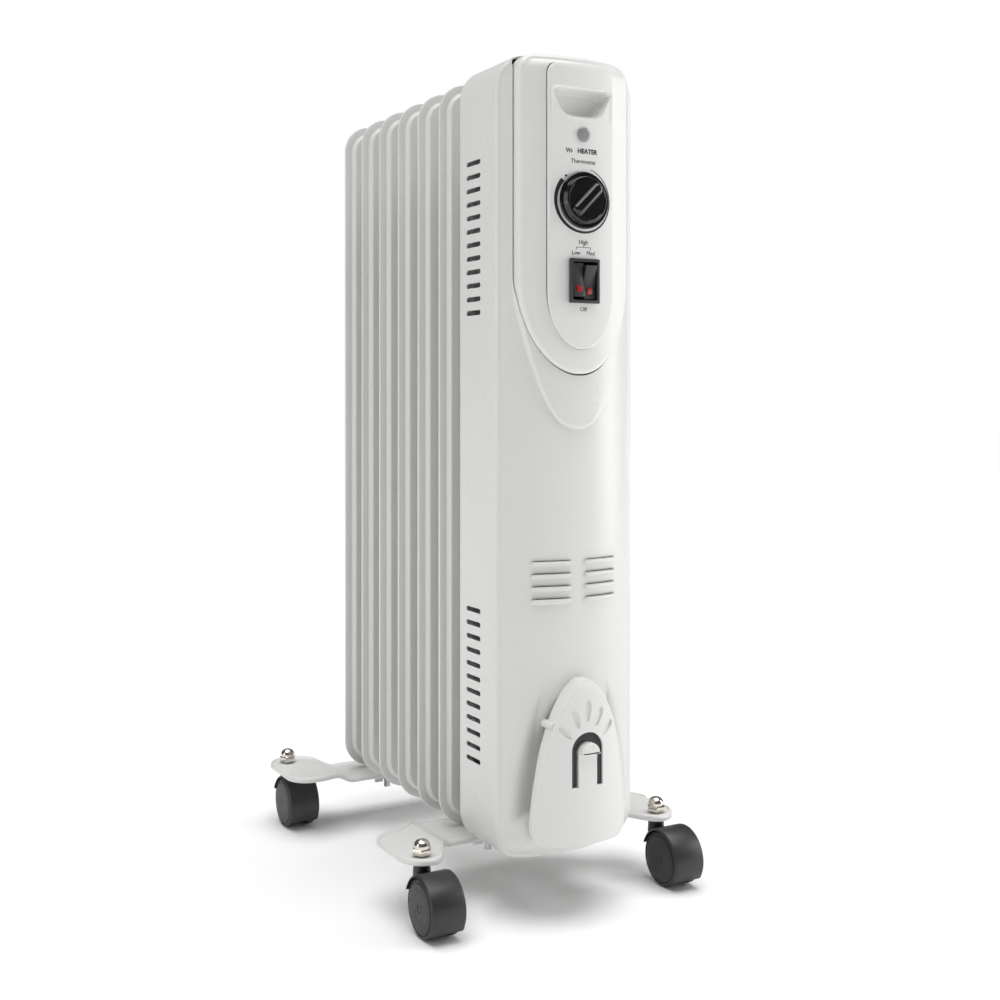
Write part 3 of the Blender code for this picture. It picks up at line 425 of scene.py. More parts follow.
def galvanised_sheet():
    """Hot-dip galvanised sheet: spangles of zinc about 9 mm across, each with its own grey."""
    made, tree, shader, place = finish("galvanised_sheet", "A7ACB0", 0.42, 1.0)
    spangle = add(tree, "ShaderNodeTexVoronoi", {"Vector": place, "Scale": 1 / (9 * MM)})
    value = add(tree, "ShaderNodeSeparateColor", {"Color": spangle.outputs["Color"]}).outputs["Red"]
    pair = {0: value, 6: linear("9BA0A5"), 7: linear("B6BABD")}
    tint = add(tree, "ShaderNodeMix", pair, data_type="RGBA")
    tree.links.new(tint.outputs[2], shader.inputs["Base Color"])
    gloss = add(tree, "ShaderNodeMapRange", {"Value": value, "To Min": 0.32, "To Max": 0.5})
    tree.links.new(gloss.outputs["Result"], shader.inputs["Roughness"])
    return made


def turned_brass():
    """Free-cutting brass from a lathe: yellow metal with fine tool rings about 0.5 mm apart."""
    made, tree, shader, place = finish("turned_brass", "C9A85C", 0.28, 1.0)
    rings, tints = (0.2, 1, 0.2), ("C2A155", "CFB069")
    surface(tree, shader, place, 0.5 * MM, (0.22, 0.36), 0.008 * MM, tints, 2.0, rings)
    return made


def moulded_phenolic():
    """Compression moulded phenolic resin: dark brown, with a fine mottle of wood flour."""
    made, tree, shader, place = finish("moulded_phenolic", "3A2A22", 0.5)
    surface(tree, shader, place, 0.9 * MM, (0.42, 0.58), 0.01 * MM, ("33241D", "433127"), 5.0)
    return made


def smoked_polycarbonate():
    """A frosted grey polycarbonate lens: light sinks a little way in, and it shines softly."""
    made, tree, shader, place = finish(
        "smoked_polycarbonate", "8B8D8E", 0.2, sockets={"IOR": 1.585, "Subsurface Weight": 0.2}
    )
    shader.inputs["Subsurface Radius"].default_value = (0.6 * MM, 0.6 * MM, 0.6 * MM)
    shader.inputs["Subsurface Scale"].default_value = 1.0
    surface(tree, shader, place, 1 * MM, (0.16, 0.28), 0.006 * MM, ("868889", "909293"))
    return made


def red_polycarbonate():
    """A clear red polycarbonate window over a neon lamp: saturated red with a glossy face."""
    made, tree, shader, place = finish(
        "red_polycarbonate", "8E1512", 0.15, sockets={"IOR": 1.585, "Coat Weight": 0.3}
    )
    surface(tree, shader, place, 0.8 * MM, (0.12, 0.22), 0.01 * MM, ("7C100E", "B5241D"))
    return made


def pad_printed_ink():
    """Two-part ink pad-printed on the plastic: matt near-black, and a little uneven."""
    made, tree, shader, place = finish("pad_printed_ink", "1B1B1D", 0.5)
    surface(tree, shader, place, 0.5 * MM, (0.42, 0.6), 0.002 * MM, ("161618", "242426"))
    return made


STEEL = powder_coated_steel()
INSIDE_SHADE_BLACK = inside_painted_shade()
WHITE = moulded_white_abs()
GLOSS_BLACK = polished_black_abs()
SWITCH_BLACK = textured_black_abs()
NYLON = glass_filled_nylon()
WHEEL = wheel_nylon()
NICKEL = bright_nickel_plate()
ZINC = blue_zinc_plate()
GALVANISED = galvanised_sheet()
BRASS = turned_brass()
PHENOLIC = moulded_phenolic()
LENS = smoked_polycarbonate()
RED = red_polycarbonate()
INK = pad_printed_ink()


def piece(obj, material, body="root", replaces=(), extra=()):
    """A finished piece: its material, the body it rides on and the nodes that it stands for."""
    if not any(obj.data.materials):
        obj.data.materials.clear()
        for each in (material, *extra):
            obj.data.materials.append(each)
    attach(obj, body)
    if replaces:
        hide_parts(*replaces)
    return obj


def kept(name, material):
    """A node that keeps its own shape, with a finish in its slot."""
    for place in bpy.data.objects[name].material_slots:
        place.material = material


# Fins


def fin_loop(y, inset):
    """The fin's outline this far inside its edge, at a depth."""
    half = FIN_HIGH.x - inset
    radius = max(FIN_CORNER - inset, 3 * MM)
    outline = rounded_rectangle(-half, half, FIN_BOTTOM + inset, FIN_TOP - inset, radius, 10)
    return [(x, y, z) for x, z in outline]


def channel_loop(y, x, inset):
    """A sunk oil channel's outline, this far inside its edge."""
    half = 15.5 * MM - inset
    low, high = FIN_BOTTOM + 93 * MM + inset, FIN_BOTTOM + 492 * MM - inset
    return [(u, y, v) for u, v in rounded_rectangle(x - half, x + half, low, high, 0.85 * half, 6)]


def fin(number):
    """Two sheets with a raised panel and sunk channels, welded at their rim and at the pipes."""
    middle = FIRST_FIN_Y + number * FIN_PITCH
    rim = [(0, 0.7), (0.25, 1.2), (0.8, 1.5), (5.6, 1.5), (6.1, 1.8), (6.6, 2.8), (7.2, 4.5)]
    rim += [(7.7, 5.5), (8.5, 6), (12, 6)]
    channel = [(0, 6), (0.7, 5.85), (1.5, 5), (2.3, 3.4), (3.1, 2.65), (4, 2.5)]
    pipe = [(27, 6), (25, 6.3), (23, 7.4), (21.4, 9.6), (20.4, 13)]
    work = bmesh.new()
    sheets = []
    for side in (-1, 1):
        outer = [ring(work, fin_loop(middle + side * y * MM, inset * MM)) for inset, y in rim]
        bridge(work, outer)
        sheets.append(outer[0])
        holes = []
        for x in (-24 * MM, 24 * MM):
            sunk = [
                ring(work, channel_loop(middle + side * y * MM, x, inset * MM))
                for inset, y in channel
            ]
            bridge(work, sunk)
            work.faces.new(sunk[-1])
            holes.append(sunk[0])
        if number == 0 and side < 0:
            ends = [(20, 8.7), (19, 9)]
            sleeve = pipe[:3]
        else:
            halfway = FIN_PITCH / 2 / MM
            ends = [(20, halfway - 1.6), (20.9, halfway - 0.9), (20.9, halfway - 0.15)]
            sleeve = pipe
        if not (number == FIN_COUNT - 1 and side > 0):
            for z in PIPE_Z:
                collar = []
                for radius, y in sleeve + ends:
                    hoop = circle((0, z), radius * MM, 40)
                    collar.append(ring(work, [(u, middle + side * y * MM, v) for u, v in hoop]))
                bridge(work, collar)
                work.faces.new(collar[-1])
                holes.append(collar[0])
        fill(work, outer[-1], *holes)
    bridge(work, sheets)
    return piece(finished(f"pressed_fin_{number + 1}", work), STEEL, replaces=[f"fin_{number + 1}"])


for fin_number in range(FIN_COUNT):
    fin(fin_number)


# Front cover


def boundary(rows):
    """The rim of a grid of rows, counter-clockwise as seen from the front."""
    right = [row[-1] for row in rows[1:-1]]
    left = [row[0] for row in rows[1:-1]]
    return list(rows[0]) + right + list(reversed(rows[-1])) + list(reversed(left))


def pressed_skin(name, rows, depth, rounding, rear, wall, inner=None):
    """A sheet over rows of (height, [x, ...]) whose front lies at depth(x, z). It rounds back at
    its rim, runs straight to rear, and gets its wall on the inside. Where inner is given, it holds
    a finish for each side."""
    work = bmesh.new()
    grid = [[work.verts.new((x, depth(x, z), z)) for x in xs] for z, xs in rows]
    for lower, upper in zip(grid, grid[1:]):
        for i in range(len(lower) - 1):
            work.faces.new((lower[i], lower[i + 1], upper[i + 1], upper[i]))
    rim = boundary(grid)
    plan = [(vert.co.x, vert.co.z) for vert in rim]
    rings = [rim]
    for step in range(1, 6):
        angle = math.radians(90 * step / 5)
        moved = grown(plan, rounding * math.sin(angle))
        back = rounding * (1 - math.cos(angle))
        rings.append(ring(work, [(x, vert.co.y + back, z) for (x, z), vert in zip(moved, rim)]))
    rings.append(ring(work, [(vert.co.x, rear, vert.co.z) for vert in rings[-1]]))
    for first, second in zip(rings, rings[1:]):
        for i in range(len(first)):
            j = (i + 1) % len(first)
            work.faces.new((second[i], second[j], first[j], first[i]))
    mesh = bpy.data.meshes.new(name)
    work.to_mesh(mesh)
    work.free()
    skin = shown(name, mesh)
    thickness = skin.modifiers.new("wall", "SOLIDIFY")
    thickness.thickness = wall
    thickness.offset = -1
    if inner:
        for each in inner:
            mesh.materials.append(each)
        thickness.material_offset = 1
    return applied(skin)


def crease_half(z):
    """Half the width of the raised tongue below the housing at this height."""
    up = (z - CREASE_LOW) / (CREASE_HIGH - CREASE_LOW)
    return CREASE_HALF * min(1.0, max(0.0, up)) ** CREASE_POWER


def crease_inside(x, z):
    """How far a point lies inside the raised tongue's edge."""
    share = abs(x) / CREASE_HALF
    edge = CREASE_LOW + (CREASE_HIGH - CREASE_LOW) * share ** (1 / CREASE_POWER)
    slope = (CREASE_HIGH - CREASE_LOW) / CREASE_HALF / CREASE_POWER
    slope *= share ** (1 / CREASE_POWER - 1)
    return min((z - edge) / math.hypot(1, slope), CREASE_HALF + 1 * MM - abs(x))


def recess_depth(x, z):
    """The hollow behind the cord bracket: a sharp ledge at its foot, fading out towards its top."""
    up = (z - RECESS["low"]) / (RECESS["high"] - RECESS["low"])
    if not 0 < up < 1:
        return 0.0
    half = RECESS["half"] * (1 - 0.5 * up**2)
    inside = min(2.6 * (1 - abs(x) / half), 9 * up, 2.2 * (1 - up))
    return RECESS["depth"] * smooth(inside)


def cover_depth(x, z):
    y = COVER_LOW.y + bow(x, COVER_BOW)
    y += drop(COVER_HIGH.z - z, COVER_TOP_ROUND) + drop(z - COVER_LOW.z, COVER_FOOT_ROUND)
    raised = CREASE_RISE * smooth(crease_inside(x, z) / CREASE_RUN)
    return y + recess_depth(x, z) - raised


def cover_rows():
    """Rows of points across the cover, close where it is shaped, and following the crease."""
    inset = COVER_EDGE
    half = COVER_HALF - inset
    radius = COVER_CORNER - inset
    low, high = COVER_LOW.z + inset, COVER_HIGH.z - inset
    corner = arc((half - radius, low + radius), radius, -90, 0, 14)
    heights = [(z, x) for x, z in corner]
    stops = [
        (low + radius, 1.2),
        (RECESS["low"] + 15 * MM, 2.5),
        (RECESS["high"] + 4 * MM, 6),
        (CREASE_LOW - 6 * MM, 1.0),
        (CREASE_LOW + 12 * MM, 1.8),
        (CREASE_HIGH + 24 * MM, 8),
        (high - radius, 0),
    ]
    for (start, pitch), (end, _) in zip(stops, stops[1:]):
        heights += [(z, half) for z in spread(start, end, pitch * MM)[1:]]
    heights += [(z, x) for x, z in arc((half - radius, high - radius), radius, 0, 90, 14)[1:]]
    rows = []
    for z, wide in heights:
        below = 30 * MM * smooth((CREASE_LOW - z) / (60 * MM))
        bend = min(max(crease_half(z), below, 6 * MM), 0.8 * wide)
        inner = spread(0, bend - 2 * MM, (bend - 2 * MM) / 10)
        fold = spread(bend - 2 * MM, bend + 2 * MM, 4 * MM / 5)
        outer = spread(bend + 2 * MM, wide, (wide - bend - 2 * MM) / 9)
        right = inner + fold[1:] + outer[1:]
        rows.append((z, [-x for x in reversed(right[1:])] + right))
    return rows


def tongue_rows(half, bottom, top, corner, pitch, columns, grow=0.0):
    """Rows of a tongue: an elliptical foot, straight sides and rounded top corners."""
    foot = 1.55 * half
    half, bottom, top = half + grow, bottom - grow, top + grow
    foot += 1.55 * grow
    rows = []
    for i in range(25):
        angle = math.radians(-86 + 86 * i / 24)
        rows.append((bottom + foot + foot * math.sin(angle), half * math.cos(angle)))
    rows += [(z, half) for z in spread(bottom + foot, top - corner, pitch)[1:]]
    rows += [(z, x) for x, z in arc((half - corner, top - corner), corner, 0, 90, 10)[1:]]
    shares = [2 * i / columns - 1 for i in range(columns + 1)]
    return [(z, [x * share for share in shares]) for z, x in rows]


def rows_outline(rows):
    return [(xs[-1], z) for z, xs in rows] + [(xs[0], z) for z, xs in reversed(rows)]


def nodes_object(name, tree, values):
    """The plain mesh that a geometry node tree makes from its named inputs."""
    maker = shown(name, bpy.data.meshes.new(name))
    modifier = maker.modifiers.new("nodes", "NODES")
    modifier.node_group = tree
    for item in tree.interface.items_tree:
        if item.in_out == "INPUT" and item.name in values:
            modifier[item.identifier] = values[item.name]
    bpy.context.view_layer.update()
    graph = bpy.context.evaluated_depsgraph_get()
    mesh = bpy.data.meshes.new_from_object(maker.evaluated_get(graph))
    maker.modifiers.clear()
    maker.data = mesh
    return maker


def tree_with(name, inputs):
    """A geometry node tree with named number inputs, and the node that holds them."""
    tree = bpy.data.node_groups.new(name, "GeometryNodeTree")
    for label, kind in inputs.items():
        tree.interface.new_socket(label, in_out="INPUT", socket_type=kind)
    tree.interface.new_socket("Geometry", in_out="OUTPUT", socket_type="NodeSocketGeometry")
    return tree, add(tree, "NodeGroupInput").outputs


def tree_result(tree, instances, material):
    real = add(tree, "GeometryNodeRealizeInstances", {"Geometry": instances})
    painted = add(
        tree, "GeometryNodeSetMaterial", {"Geometry": real.outputs[0], "Material": material}
    )
    add(tree, "NodeGroupOutput", {"Geometry": painted.outputs[0]})


def slot_bars():
    """Bars with round ends that cut the two columns of slots through both sides of the cover."""
    number, whole, vector = "NodeSocketFloat", "NodeSocketInt", "NodeSocketVector"
    tree, given = tree_with(
        "side_slot_bars",
        {
            "Length": number,
            "Height": number,
            "Rows": whole,
            "Pitch": vector,
            "Start": vector,
            "Rise": vector,
        },
    )
    ends = {"Start": (-80 * MM, 0, 0), "End": (80 * MM, 0, 0)}
    bar = add(tree, "GeometryNodeCurvePrimitiveLine", ends)
    sides = {"Width": given["Length"], "Height": given["Height"]}
    flat = add(tree, "GeometryNodeCurvePrimitiveQuadrilateral", sides)
    half = add(tree, "ShaderNodeMath", {0: given["Height"], 1: 0.499}, operation="MULTIPLY")
    rounded = add(
        tree,
        "GeometryNodeFilletCurve",
        {"Curve": flat.outputs[0], "Count": 6, "Radius": half.outputs[0]},
        mode="POLY",
    )
    solid = add(
        tree,
        "GeometryNodeCurveToMesh",
        {"Curve": bar.outputs[0], "Profile Curve": rounded.outputs[0], "Fill Caps": True},
    )
    column = {"Count": given["Rows"], "Offset": given["Pitch"]}
    lower = add(tree, "GeometryNodeMeshLine", column | {"Start Location": given["Start"]})
    risen = {"Geometry": lower.outputs[0], "Translation": given["Rise"]}
    upper = add(tree, "GeometryNodeTransform", risen)
    both = add(tree, "GeometryNodeJoinGeometry", {"Geometry": lower.outputs[0]})
    tree.links.new(upper.outputs[0], both.inputs["Geometry"])
    copies = {"Points": both.outputs[0], "Instance": solid.outputs[0]}
    spots = add(tree, "GeometryNodeInstanceOnPoints", copies)
    tree_result(tree, spots.outputs[0], STEEL)
    middle = sum(SLOT_Y) / 2
    return nodes_object(
        "side_slot_bars",
        tree,
        {
            "Length": SLOT_Y[1] - SLOT_Y[0],
            "Height": SLOT_HEIGHT,
            "Rows": SLOT_ROWS,
            "Pitch": (0, 0, SLOT_PITCH),
            "Start": (0, middle, SLOT_LOWEST[0]),
            "Rise": (0, 0, SLOT_LOWEST[1] - SLOT_LOWEST[0]),
        },
    )


def front_cover():
    """The pressed cover, with side slots, the opening for the housing, and the gland's hole."""
    # The inside of the sheet gets the near-black finish that paints the shade inside the enclosed
    # cover.
    finishes = (STEEL, INSIDE_SHADE_BLACK)
    cover = pressed_skin(
        "front_cover_skin", cover_rows(), cover_depth, COVER_EDGE, COVER_HIGH.y, SHEET, finishes
    )
    boolean(cover, slot_bars())
    top = COVER_HIGH.z + 30 * MM
    tongue = tongue_rows(HOUSING_HIGH.x, HOUSING_LOW.z, top, 1 * MM, 20 * MM, 2, 1 * MM)
    front, rear = COVER_LOW.y - 20 * MM, HOUSING_HIGH.y + 2 * MM
    boolean(cover, slab("opening", rows_outline(tongue), "Y", front, rear))
    gland = circle((0, FIRST_FIN_Y - 25 * MM), 7.4 * MM, 32)
    boolean(cover, slab("hole", gland, "Z", COVER_LOW.z - 9 * MM, COVER_LOW.z + 9 * MM))
    piece(cover, STEEL, replaces=["front_cover"])


front_cover()


# Control housing and fascia


def housing_depth(x, z):
    return HOUSING_LOW.y + bow(x, COVER_BOW + 6 * MM) + drop(HOUSING_HIGH.z - z, 14 * MM)


def fascia_depth(x, z):
    return FASCIA_LOW.y + bow(x, FASCIA_BOW) + drop(FASCIA_HIGH.z - z, 6 * MM) / 2


def control_housing():
    """The moulded front with its pillowed edge, open behind the fascia."""
    inset = 4 * MM
    tongue = tongue_rows(
        HOUSING_HIGH.x - inset, HOUSING_LOW.z + inset, HOUSING_HIGH.z - inset, 10 * MM, 6 * MM, 30
    )
    rear = HOUSING_HIGH.y
    housing = pressed_skin("control_housing_shell", tongue, housing_depth, inset, rear, 2.5 * MM)
    window = tongue_rows(FASCIA_HIGH.x, FASCIA_LOW.z, FASCIA_HIGH.z, 9 * MM, 6 * MM, 2, 0.35 * MM)
    cutter = slab("window", rows_outline(window), "Y", HOUSING_LOW.y - 9 * MM, rear - 2 * MM)
    piece(boolean(housing, cutter), WHITE, replaces=["control_housing"])


def grip_outline(inset, fall=0.0):
    """The finger grip: wide at its top, narrower at its foot, with rounded corners."""
    top, foot = 24.5 * MM - inset, 14.5 * MM - inset
    low, high = GRIP_LOW + inset + fall, GRIP_HIGH - inset
    cut = 3 * MM
    corners = [((-foot, low), 7), ((foot, low), 7), ((top, high - cut), 5), ((top - cut, high), 3)]
    corners += [((cut - top, high), 3), ((-top, high - cut), 5)]
    points = []
    for i, (corner, radius) in enumerate(corners):
        here = Vector(corner)
        before = Vector(corners[i - 1][0]) - here
        after = Vector(corners[(i + 1) % len(corners)][0]) - here
        wanted = max(radius * MM - inset / 2, 0.5 * MM)
        reach = min(wanted, 0.45 * before.length, 0.45 * after.length)
        start, end = here + before.normalized() * reach, here + after.normalized() * reach
        for step in range(7):
            t = step / 6
            points.append(tuple(start * (1 - t) ** 2 + here * 2 * t * (1 - t) + end * t * t))
    return points


def grip_cutter():
    """The hollow of the grip, with a soft lip, a hollow floor and walls that lean in."""
    steps = [(-1.6, -4), (-1.0, -0.1), (-0.45, 0.35), (0, 1.2), (0.4, 3), (0.8, 6)]
    steps += [(1.3, 9), (2.2, 11), (3.8, 12.4)]
    rings = []
    for inset, depth in steps:
        outline = grip_outline(inset * MM, 0.25 * depth * MM if depth > 0 else 0)
        rings.append([(x, FASCIA_LOW.y + depth * MM + bow(x, FASCIA_BOW), z) for x, z in outline])
    return lofted("grip_hollow", rings)


def fascia_panel():
    """The bowed fascia plate with its grip, and holes for the lamp, the shaft and the switch."""
    inset = 1.4 * MM
    tongue = tongue_rows(
        FASCIA_HIGH.x - inset, FASCIA_LOW.z + inset, FASCIA_HIGH.z - inset, 7.6 * MM, 5 * MM, 24
    )
    edge = FASCIA_LOW.y + 5 * MM
    fascia = pressed_skin("fascia_plate", tongue, fascia_depth, inset, edge, 2.2 * MM)
    low, high = GRIP_LOW - 2 * MM, GRIP_HIGH + 2 * MM
    cup_outline = rounded_rectangle(-26 * MM, 26 * MM, low, high, 4 * MM, 4)
    cup = slab("cup", cup_outline, "Y", FASCIA_LOW.y + 1.9 * MM, FASCIA_HIGH.y)
    boolean(fascia, cup, "UNION")
    boolean(fascia, grip_cutter())
    front = FASCIA_LOW.y - 9 * MM
    rear = FASCIA_LOW.y + 9 * MM
    lamp, shaft = circle((0, LAMP_Z), 4.8 * MM), circle((0, KNOB_Z), 5 * MM)
    for outline in (lamp, shaft, switch_outline(-1.2 * MM)):
        boolean(fascia, slab("hole", outline, "Y", front, rear))
    piece(fascia, WHITE, replaces=["fascia_panel"])


def switch_outline(grow):
    half, up = 12.5 * MM + grow, 16 * MM + grow
    return rounded_rectangle(-half, half, SWITCH_Z - up, SWITCH_Z + up, 0.8 * MM, 3)


# Lamp, knob and switch


def pilot_lamp():
    """A frosted lens with a flat face, held by a thin collar."""
    face = FASCIA_LOW.y - 0.2 * MM
    profile = [(0, -1.5), (3.6, -1.45), (4.7, -1.2), (5.2, -0.75), (5.35, -0.1), (5.35, 0.1)]
    profile += [(4.5, 0.1), (4.5, 9), (0, 9)]
    points = [(r * MM, along * MM) for r, along in profile]
    lens = turned("pilot_lamp_lens", points, "Y", (0, face, LAMP_Z), 48)
    piece(lens, LENS, replaces=["pilot_lamp"])


def thermostat_knob():
    """A gloss knob: a skirt with a turned groove, a rimmed face, and a slanting grip bar."""
    centre = (0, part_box("thermostat_knob")[1].y, KNOB_Z)
    profile = [(3.3, 0), (20.1, 0), (20.6, 0.3), (20.6, 1.0), (20.1, 1.5), (19.4, 1.65)]
    profile += [(18.9, 1.6), (18.6, 1.3), (18.2, 1.3), (17.9, 1.7), (17.5, 2.3), (16.9, 4.3)]
    profile += [(16.5, 4.9), (16.0, 5.15), (15.5, 5.15), (15.2, 4.9), (14.9, 4.6), (12, 4.75)]
    profile += [(3.3, 4.8)]
    points = [(r * MM, -along * MM) for r, along in profile]
    knob = turned("thermostat_knob_body", points, "Y", centre, 96)
    sections = [(-4.6, 15.0, 4.8), (-6.2, 14.7, 4.4), (-7.8, 14.2, 3.2)]
    sections += [(-8.5, 13.4, 2.2), (-8.75, 12.2, 1.1)]
    rings = []
    for along, reach, half in sections:
        bar = rounded_rectangle(-half, half, -reach, reach, min(0.9 * half, 2.8), 6)
        rings.append([(x * MM, along * MM, z * MM) for x, z in bar])
    grip = lofted("grip_bar", rings, 40)
    grip.data.transform(Matrix.Translation(centre) @ Matrix.Rotation(math.radians(45), 4, "Y"))
    boolean(knob, grip, "UNION")
    knob.data.materials.clear()
    piece(knob, GLOSS_BLACK, "thermostat", ["thermostat_knob"])


def rocker_switch():
    """A bezel round a well, with two rockers that each carry a lit window."""
    low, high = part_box("switch_bezel")
    frame_rear = low.y + 2.6 * MM
    bezel = slab("switch_bezel_frame", switch_outline(0), "Y", low.y, frame_rear, 0.6 * MM)
    case = slab("case", switch_outline(-1.6 * MM), "Y", low.y + 1.5 * MM, high.y)
    boolean(bezel, case, "UNION")
    boolean(bezel, slab("well", switch_outline(-2.2 * MM), "Y", low.y - 2 * MM, high.y - 2 * MM))
    piece(bezel, SWITCH_BLACK, replaces=["switch_bezel"])
    shape = [(-6.3, 12.3), (-5.5, 8), (-4.8, 4), (-4.55, 0), (-4.8, -4), (-5.5, -8)]
    shape += [(-6.3, -12.3), (-2, -12.3), (4, -4), (4, 4), (-2, 12.3)]
    outline = [(y * MM, z * MM) for y, z in shape]
    half = 4.7 * MM
    for name, side in SIDES:
        tilt = Matrix.Rotation(math.radians(ROCKER_TILT * side), 4, "X")
        place = Matrix.Translation((side * ROCKER_X, FIRST_FIN_Y - 78 * MM, SWITCH_Z)) @ tilt
        rocker = slab(f"rocker_{name}_body", outline, "X", -half, half, 0.5 * MM)
        opening = rounded_rectangle(-2.3 * MM, 2.3 * MM, -9.2 * MM, -3.8 * MM, 1 * MM, 4)
        boolean(rocker, slab("window", opening, "Y", -8 * MM, -4.6 * MM))
        lens_outline = rounded_rectangle(-2.1 * MM, 2.1 * MM, -9 * MM, -4 * MM, 0.9 * MM, 4)
        lens = slab(f"rocker_{name}_lens", lens_outline, "Y", -5.9 * MM, -4.4 * MM, 0.3 * MM)
        for obj in (rocker, lens):
            obj.data.transform(place)
        body = f"{name}_rocker"
        piece(rocker, SWITCH_BLACK, body, [f"rocker_{name}"])
        piece(lens, RED, body, [f"rocker_lens_{name}"])


control_housing()
fascia_panel()
pilot_lamp()
thermostat_knob()
rocker_switch()


# Louvres


def louvre_hoods():
    """Small hoods in two groups of rows on the bowed front, with thin near-black strips along their
    tops that paint the shade of the slits.
    """
    number, whole, vector = "NodeSocketFloat", "NodeSocketInt", "NodeSocketVector"
    tree, given = tree_with(
        "louvre_hoods",
        {
            "Start": vector,
            "End": vector,
            "Height": number,
            "Bow": number,
            "Rows": whole,
            "Pitch": vector,
        },
    )
    ends = {"Start": given["Start"], "End": given["End"]}
    line = add(tree, "GeometryNodeCurvePrimitiveLine", ends)
    fine = add(tree, "GeometryNodeResampleCurve", {"Curve": line.outputs[0], "Count": 25})
    where = add(tree, "GeometryNodeInputPosition").outputs[0]
    parts = add(tree, "ShaderNodeSeparateXYZ", {0: where}).outputs

    def sum_of(operation, first, second=0.0):
        return add(tree, "ShaderNodeMath", {0: first, 1: second}, operation=operation).outputs[0]

    square = sum_of("MULTIPLY", parts["X"], parts["X"])
    rest = sum_of("SUBTRACT", sum_of("MULTIPLY", given["Bow"], given["Bow"]), square)
    fall = sum_of("SUBTRACT", given["Bow"], sum_of("SQRT", rest))
    shift = add(tree, "ShaderNodeCombineXYZ", {"Y": fall}).outputs[0]
    bowed = add(tree, "GeometryNodeSetPosition", {"Geometry": fine.outputs[0], "Offset": shift})
    along = add(tree, "GeometryNodeSplineParameter").outputs["Factor"]
    centred = add(tree, "ShaderNodeMapRange", {"Value": along, "To Min": -1.0, "To Max": 1.0})
    taper = sum_of("SQRT", sum_of("SUBTRACT", 1.02, sum_of("POWER", centred.outputs[0], 10.0)))
    size = {"Resolution": 16, "Radius": given["Height"]}
    section = add(tree, "GeometryNodeCurvePrimitiveCircle", size).outputs[0]
    squash = {"Geometry": section, "Scale": (0.5, 0.36, 0.5)}
    flat = add(tree, "GeometryNodeTransform", squash)
    hood = add(
        tree,
        "GeometryNodeCurveToMesh",
        {
            "Curve": bowed.outputs[0],
            "Profile Curve": flat.outputs[0],
            "Scale": taper,
            "Fill Caps": True,
        },
    )
    rows = add(tree, "GeometryNodeMeshLine", {"Count": given["Rows"], "Offset": given["Pitch"]})
    copies = {"Points": rows.outputs[0], "Instance": hood.outputs[0]}
    spots = add(tree, "GeometryNodeInstanceOnPoints", copies)
    tree_result(tree, spots.outputs[0], STEEL)
    # The strips take the near-black inside finish: painted shade where the slits open under the
    # hoods, not openings.
    kinds = (("hoods", 5.0, 0, 0.3, STEEL), ("shade_strips", 0.6, 2.15, 1.15, INSIDE_SHADE_BLACK))
    for side, sign in SIDES:
        ends = sorted((sign * 5.5 * MM, sign * 36 * MM))
        for name, height, lift, proud, material in kinds:
            values = {
                "Start": (ends[0], COVER_LOW.y - proud * MM, LOUVRE_LOWEST + lift * MM),
                "End": (ends[1], COVER_LOW.y - proud * MM, LOUVRE_LOWEST + lift * MM),
                "Height": height * MM,
                "Bow": COVER_BOW,
                "Rows": LOUVRE_ROWS,
                "Pitch": (0, 0, LOUVRE_PITCH),
            }
            obj = nodes_object(f"louvre_{name}_{side}", tree, values)
            obj.data.materials.clear()
            shade(obj.data, 50)
            piece(obj, material)


# Cord bracket

BRACKET_Y = FIRST_FIN_Y - 88.5 * MM
BRACKET_SHAPE = [(14, 26), (16, 33), (20, 37.6), (27, 40), (45, 38.4), (65, 35), (80, 31.8)]
BRACKET_SHAPE += [(95, 27), (106, 22.6), (116, 17.2), (124, 11.6), (130, 5.5), (132, 2)]
BRACKET_BOTTOM = FIN_BOTTOM + 14 * MM
BRACKET_TOP = FIN_BOTTOM + 132 * MM
TONGUE_FOOT = FIN_BOTTOM + 56 * MM
ARCH_Z = FIN_BOTTOM + 82 * MM
POST_Z = FIN_BOTTOM + 100 * MM
PETALS = ((-17.5, 96, -42, 13), (-9.5, 105, -20, 14.5), (0, 110, 0, 15.5))
PETALS += ((9.5, 105, 20, 14.5), (17.5, 96, 42, 13))


def bracket_half(z):
    """Half the bracket's width at a height, read smoothly from its outline."""
    points = [(FIN_BOTTOM + up * MM, half * MM) for up, half in BRACKET_SHAPE]
    for i in range(len(points) - 1):
        (z0, h0), (z1, h1) = points[i], points[i + 1]
        if z <= z1:
            break
    t = (z - z0) / (z1 - z0)
    before = points[max(i - 1, 0)]
    after = points[min(i + 2, len(points) - 1)]
    slope0 = (h1 - before[1]) / max(z1 - before[0], 1e-6) * (z1 - z0)
    slope1 = (after[1] - h0) / max(after[0] - z0, 1e-6) * (z1 - z0)
    through = (2 * t**3 - 3 * t**2 + 1) * h0 + (t**3 - 2 * t**2 + t) * slope0
    return through + (3 * t**2 - 2 * t**3) * h1 + (t**3 - t**2) * slope1


def bracket_depth(x, z):
    y = BRACKET_Y + 12.5 * MM * (abs(x) / (40 * MM)) ** 2.1
    return y + 0.6 * drop(BRACKET_TOP - z, 10 * MM)


def petal(x, z, turn, length, width):
    """A leaf-shaped dimple, pointed at its foot."""
    rings = []
    for grow, depth in ((0.3, -6), (0.15, 0.1), (0, 0.5), (-0.4, 1.1), (-0.9, 1.4)):
        half = (width / 2 + grow) * MM
        reach = (length / 2 + grow) * MM
        outline = []
        for i in range(24):
            a = 2 * math.pi * i / 24
            outline.append((half * math.sin(a) * (1 + 0.35 * math.cos(a)), reach * math.cos(a)))
        c, s = math.cos(math.radians(turn)), math.sin(math.radians(turn))
        placed = [(x + u * c + v * s, z - u * s + v * c) for u, v in outline]
        rings.append([(u, bracket_depth(u, v) + depth * MM, v) for u, v in placed])
    return lofted("petal", rings)


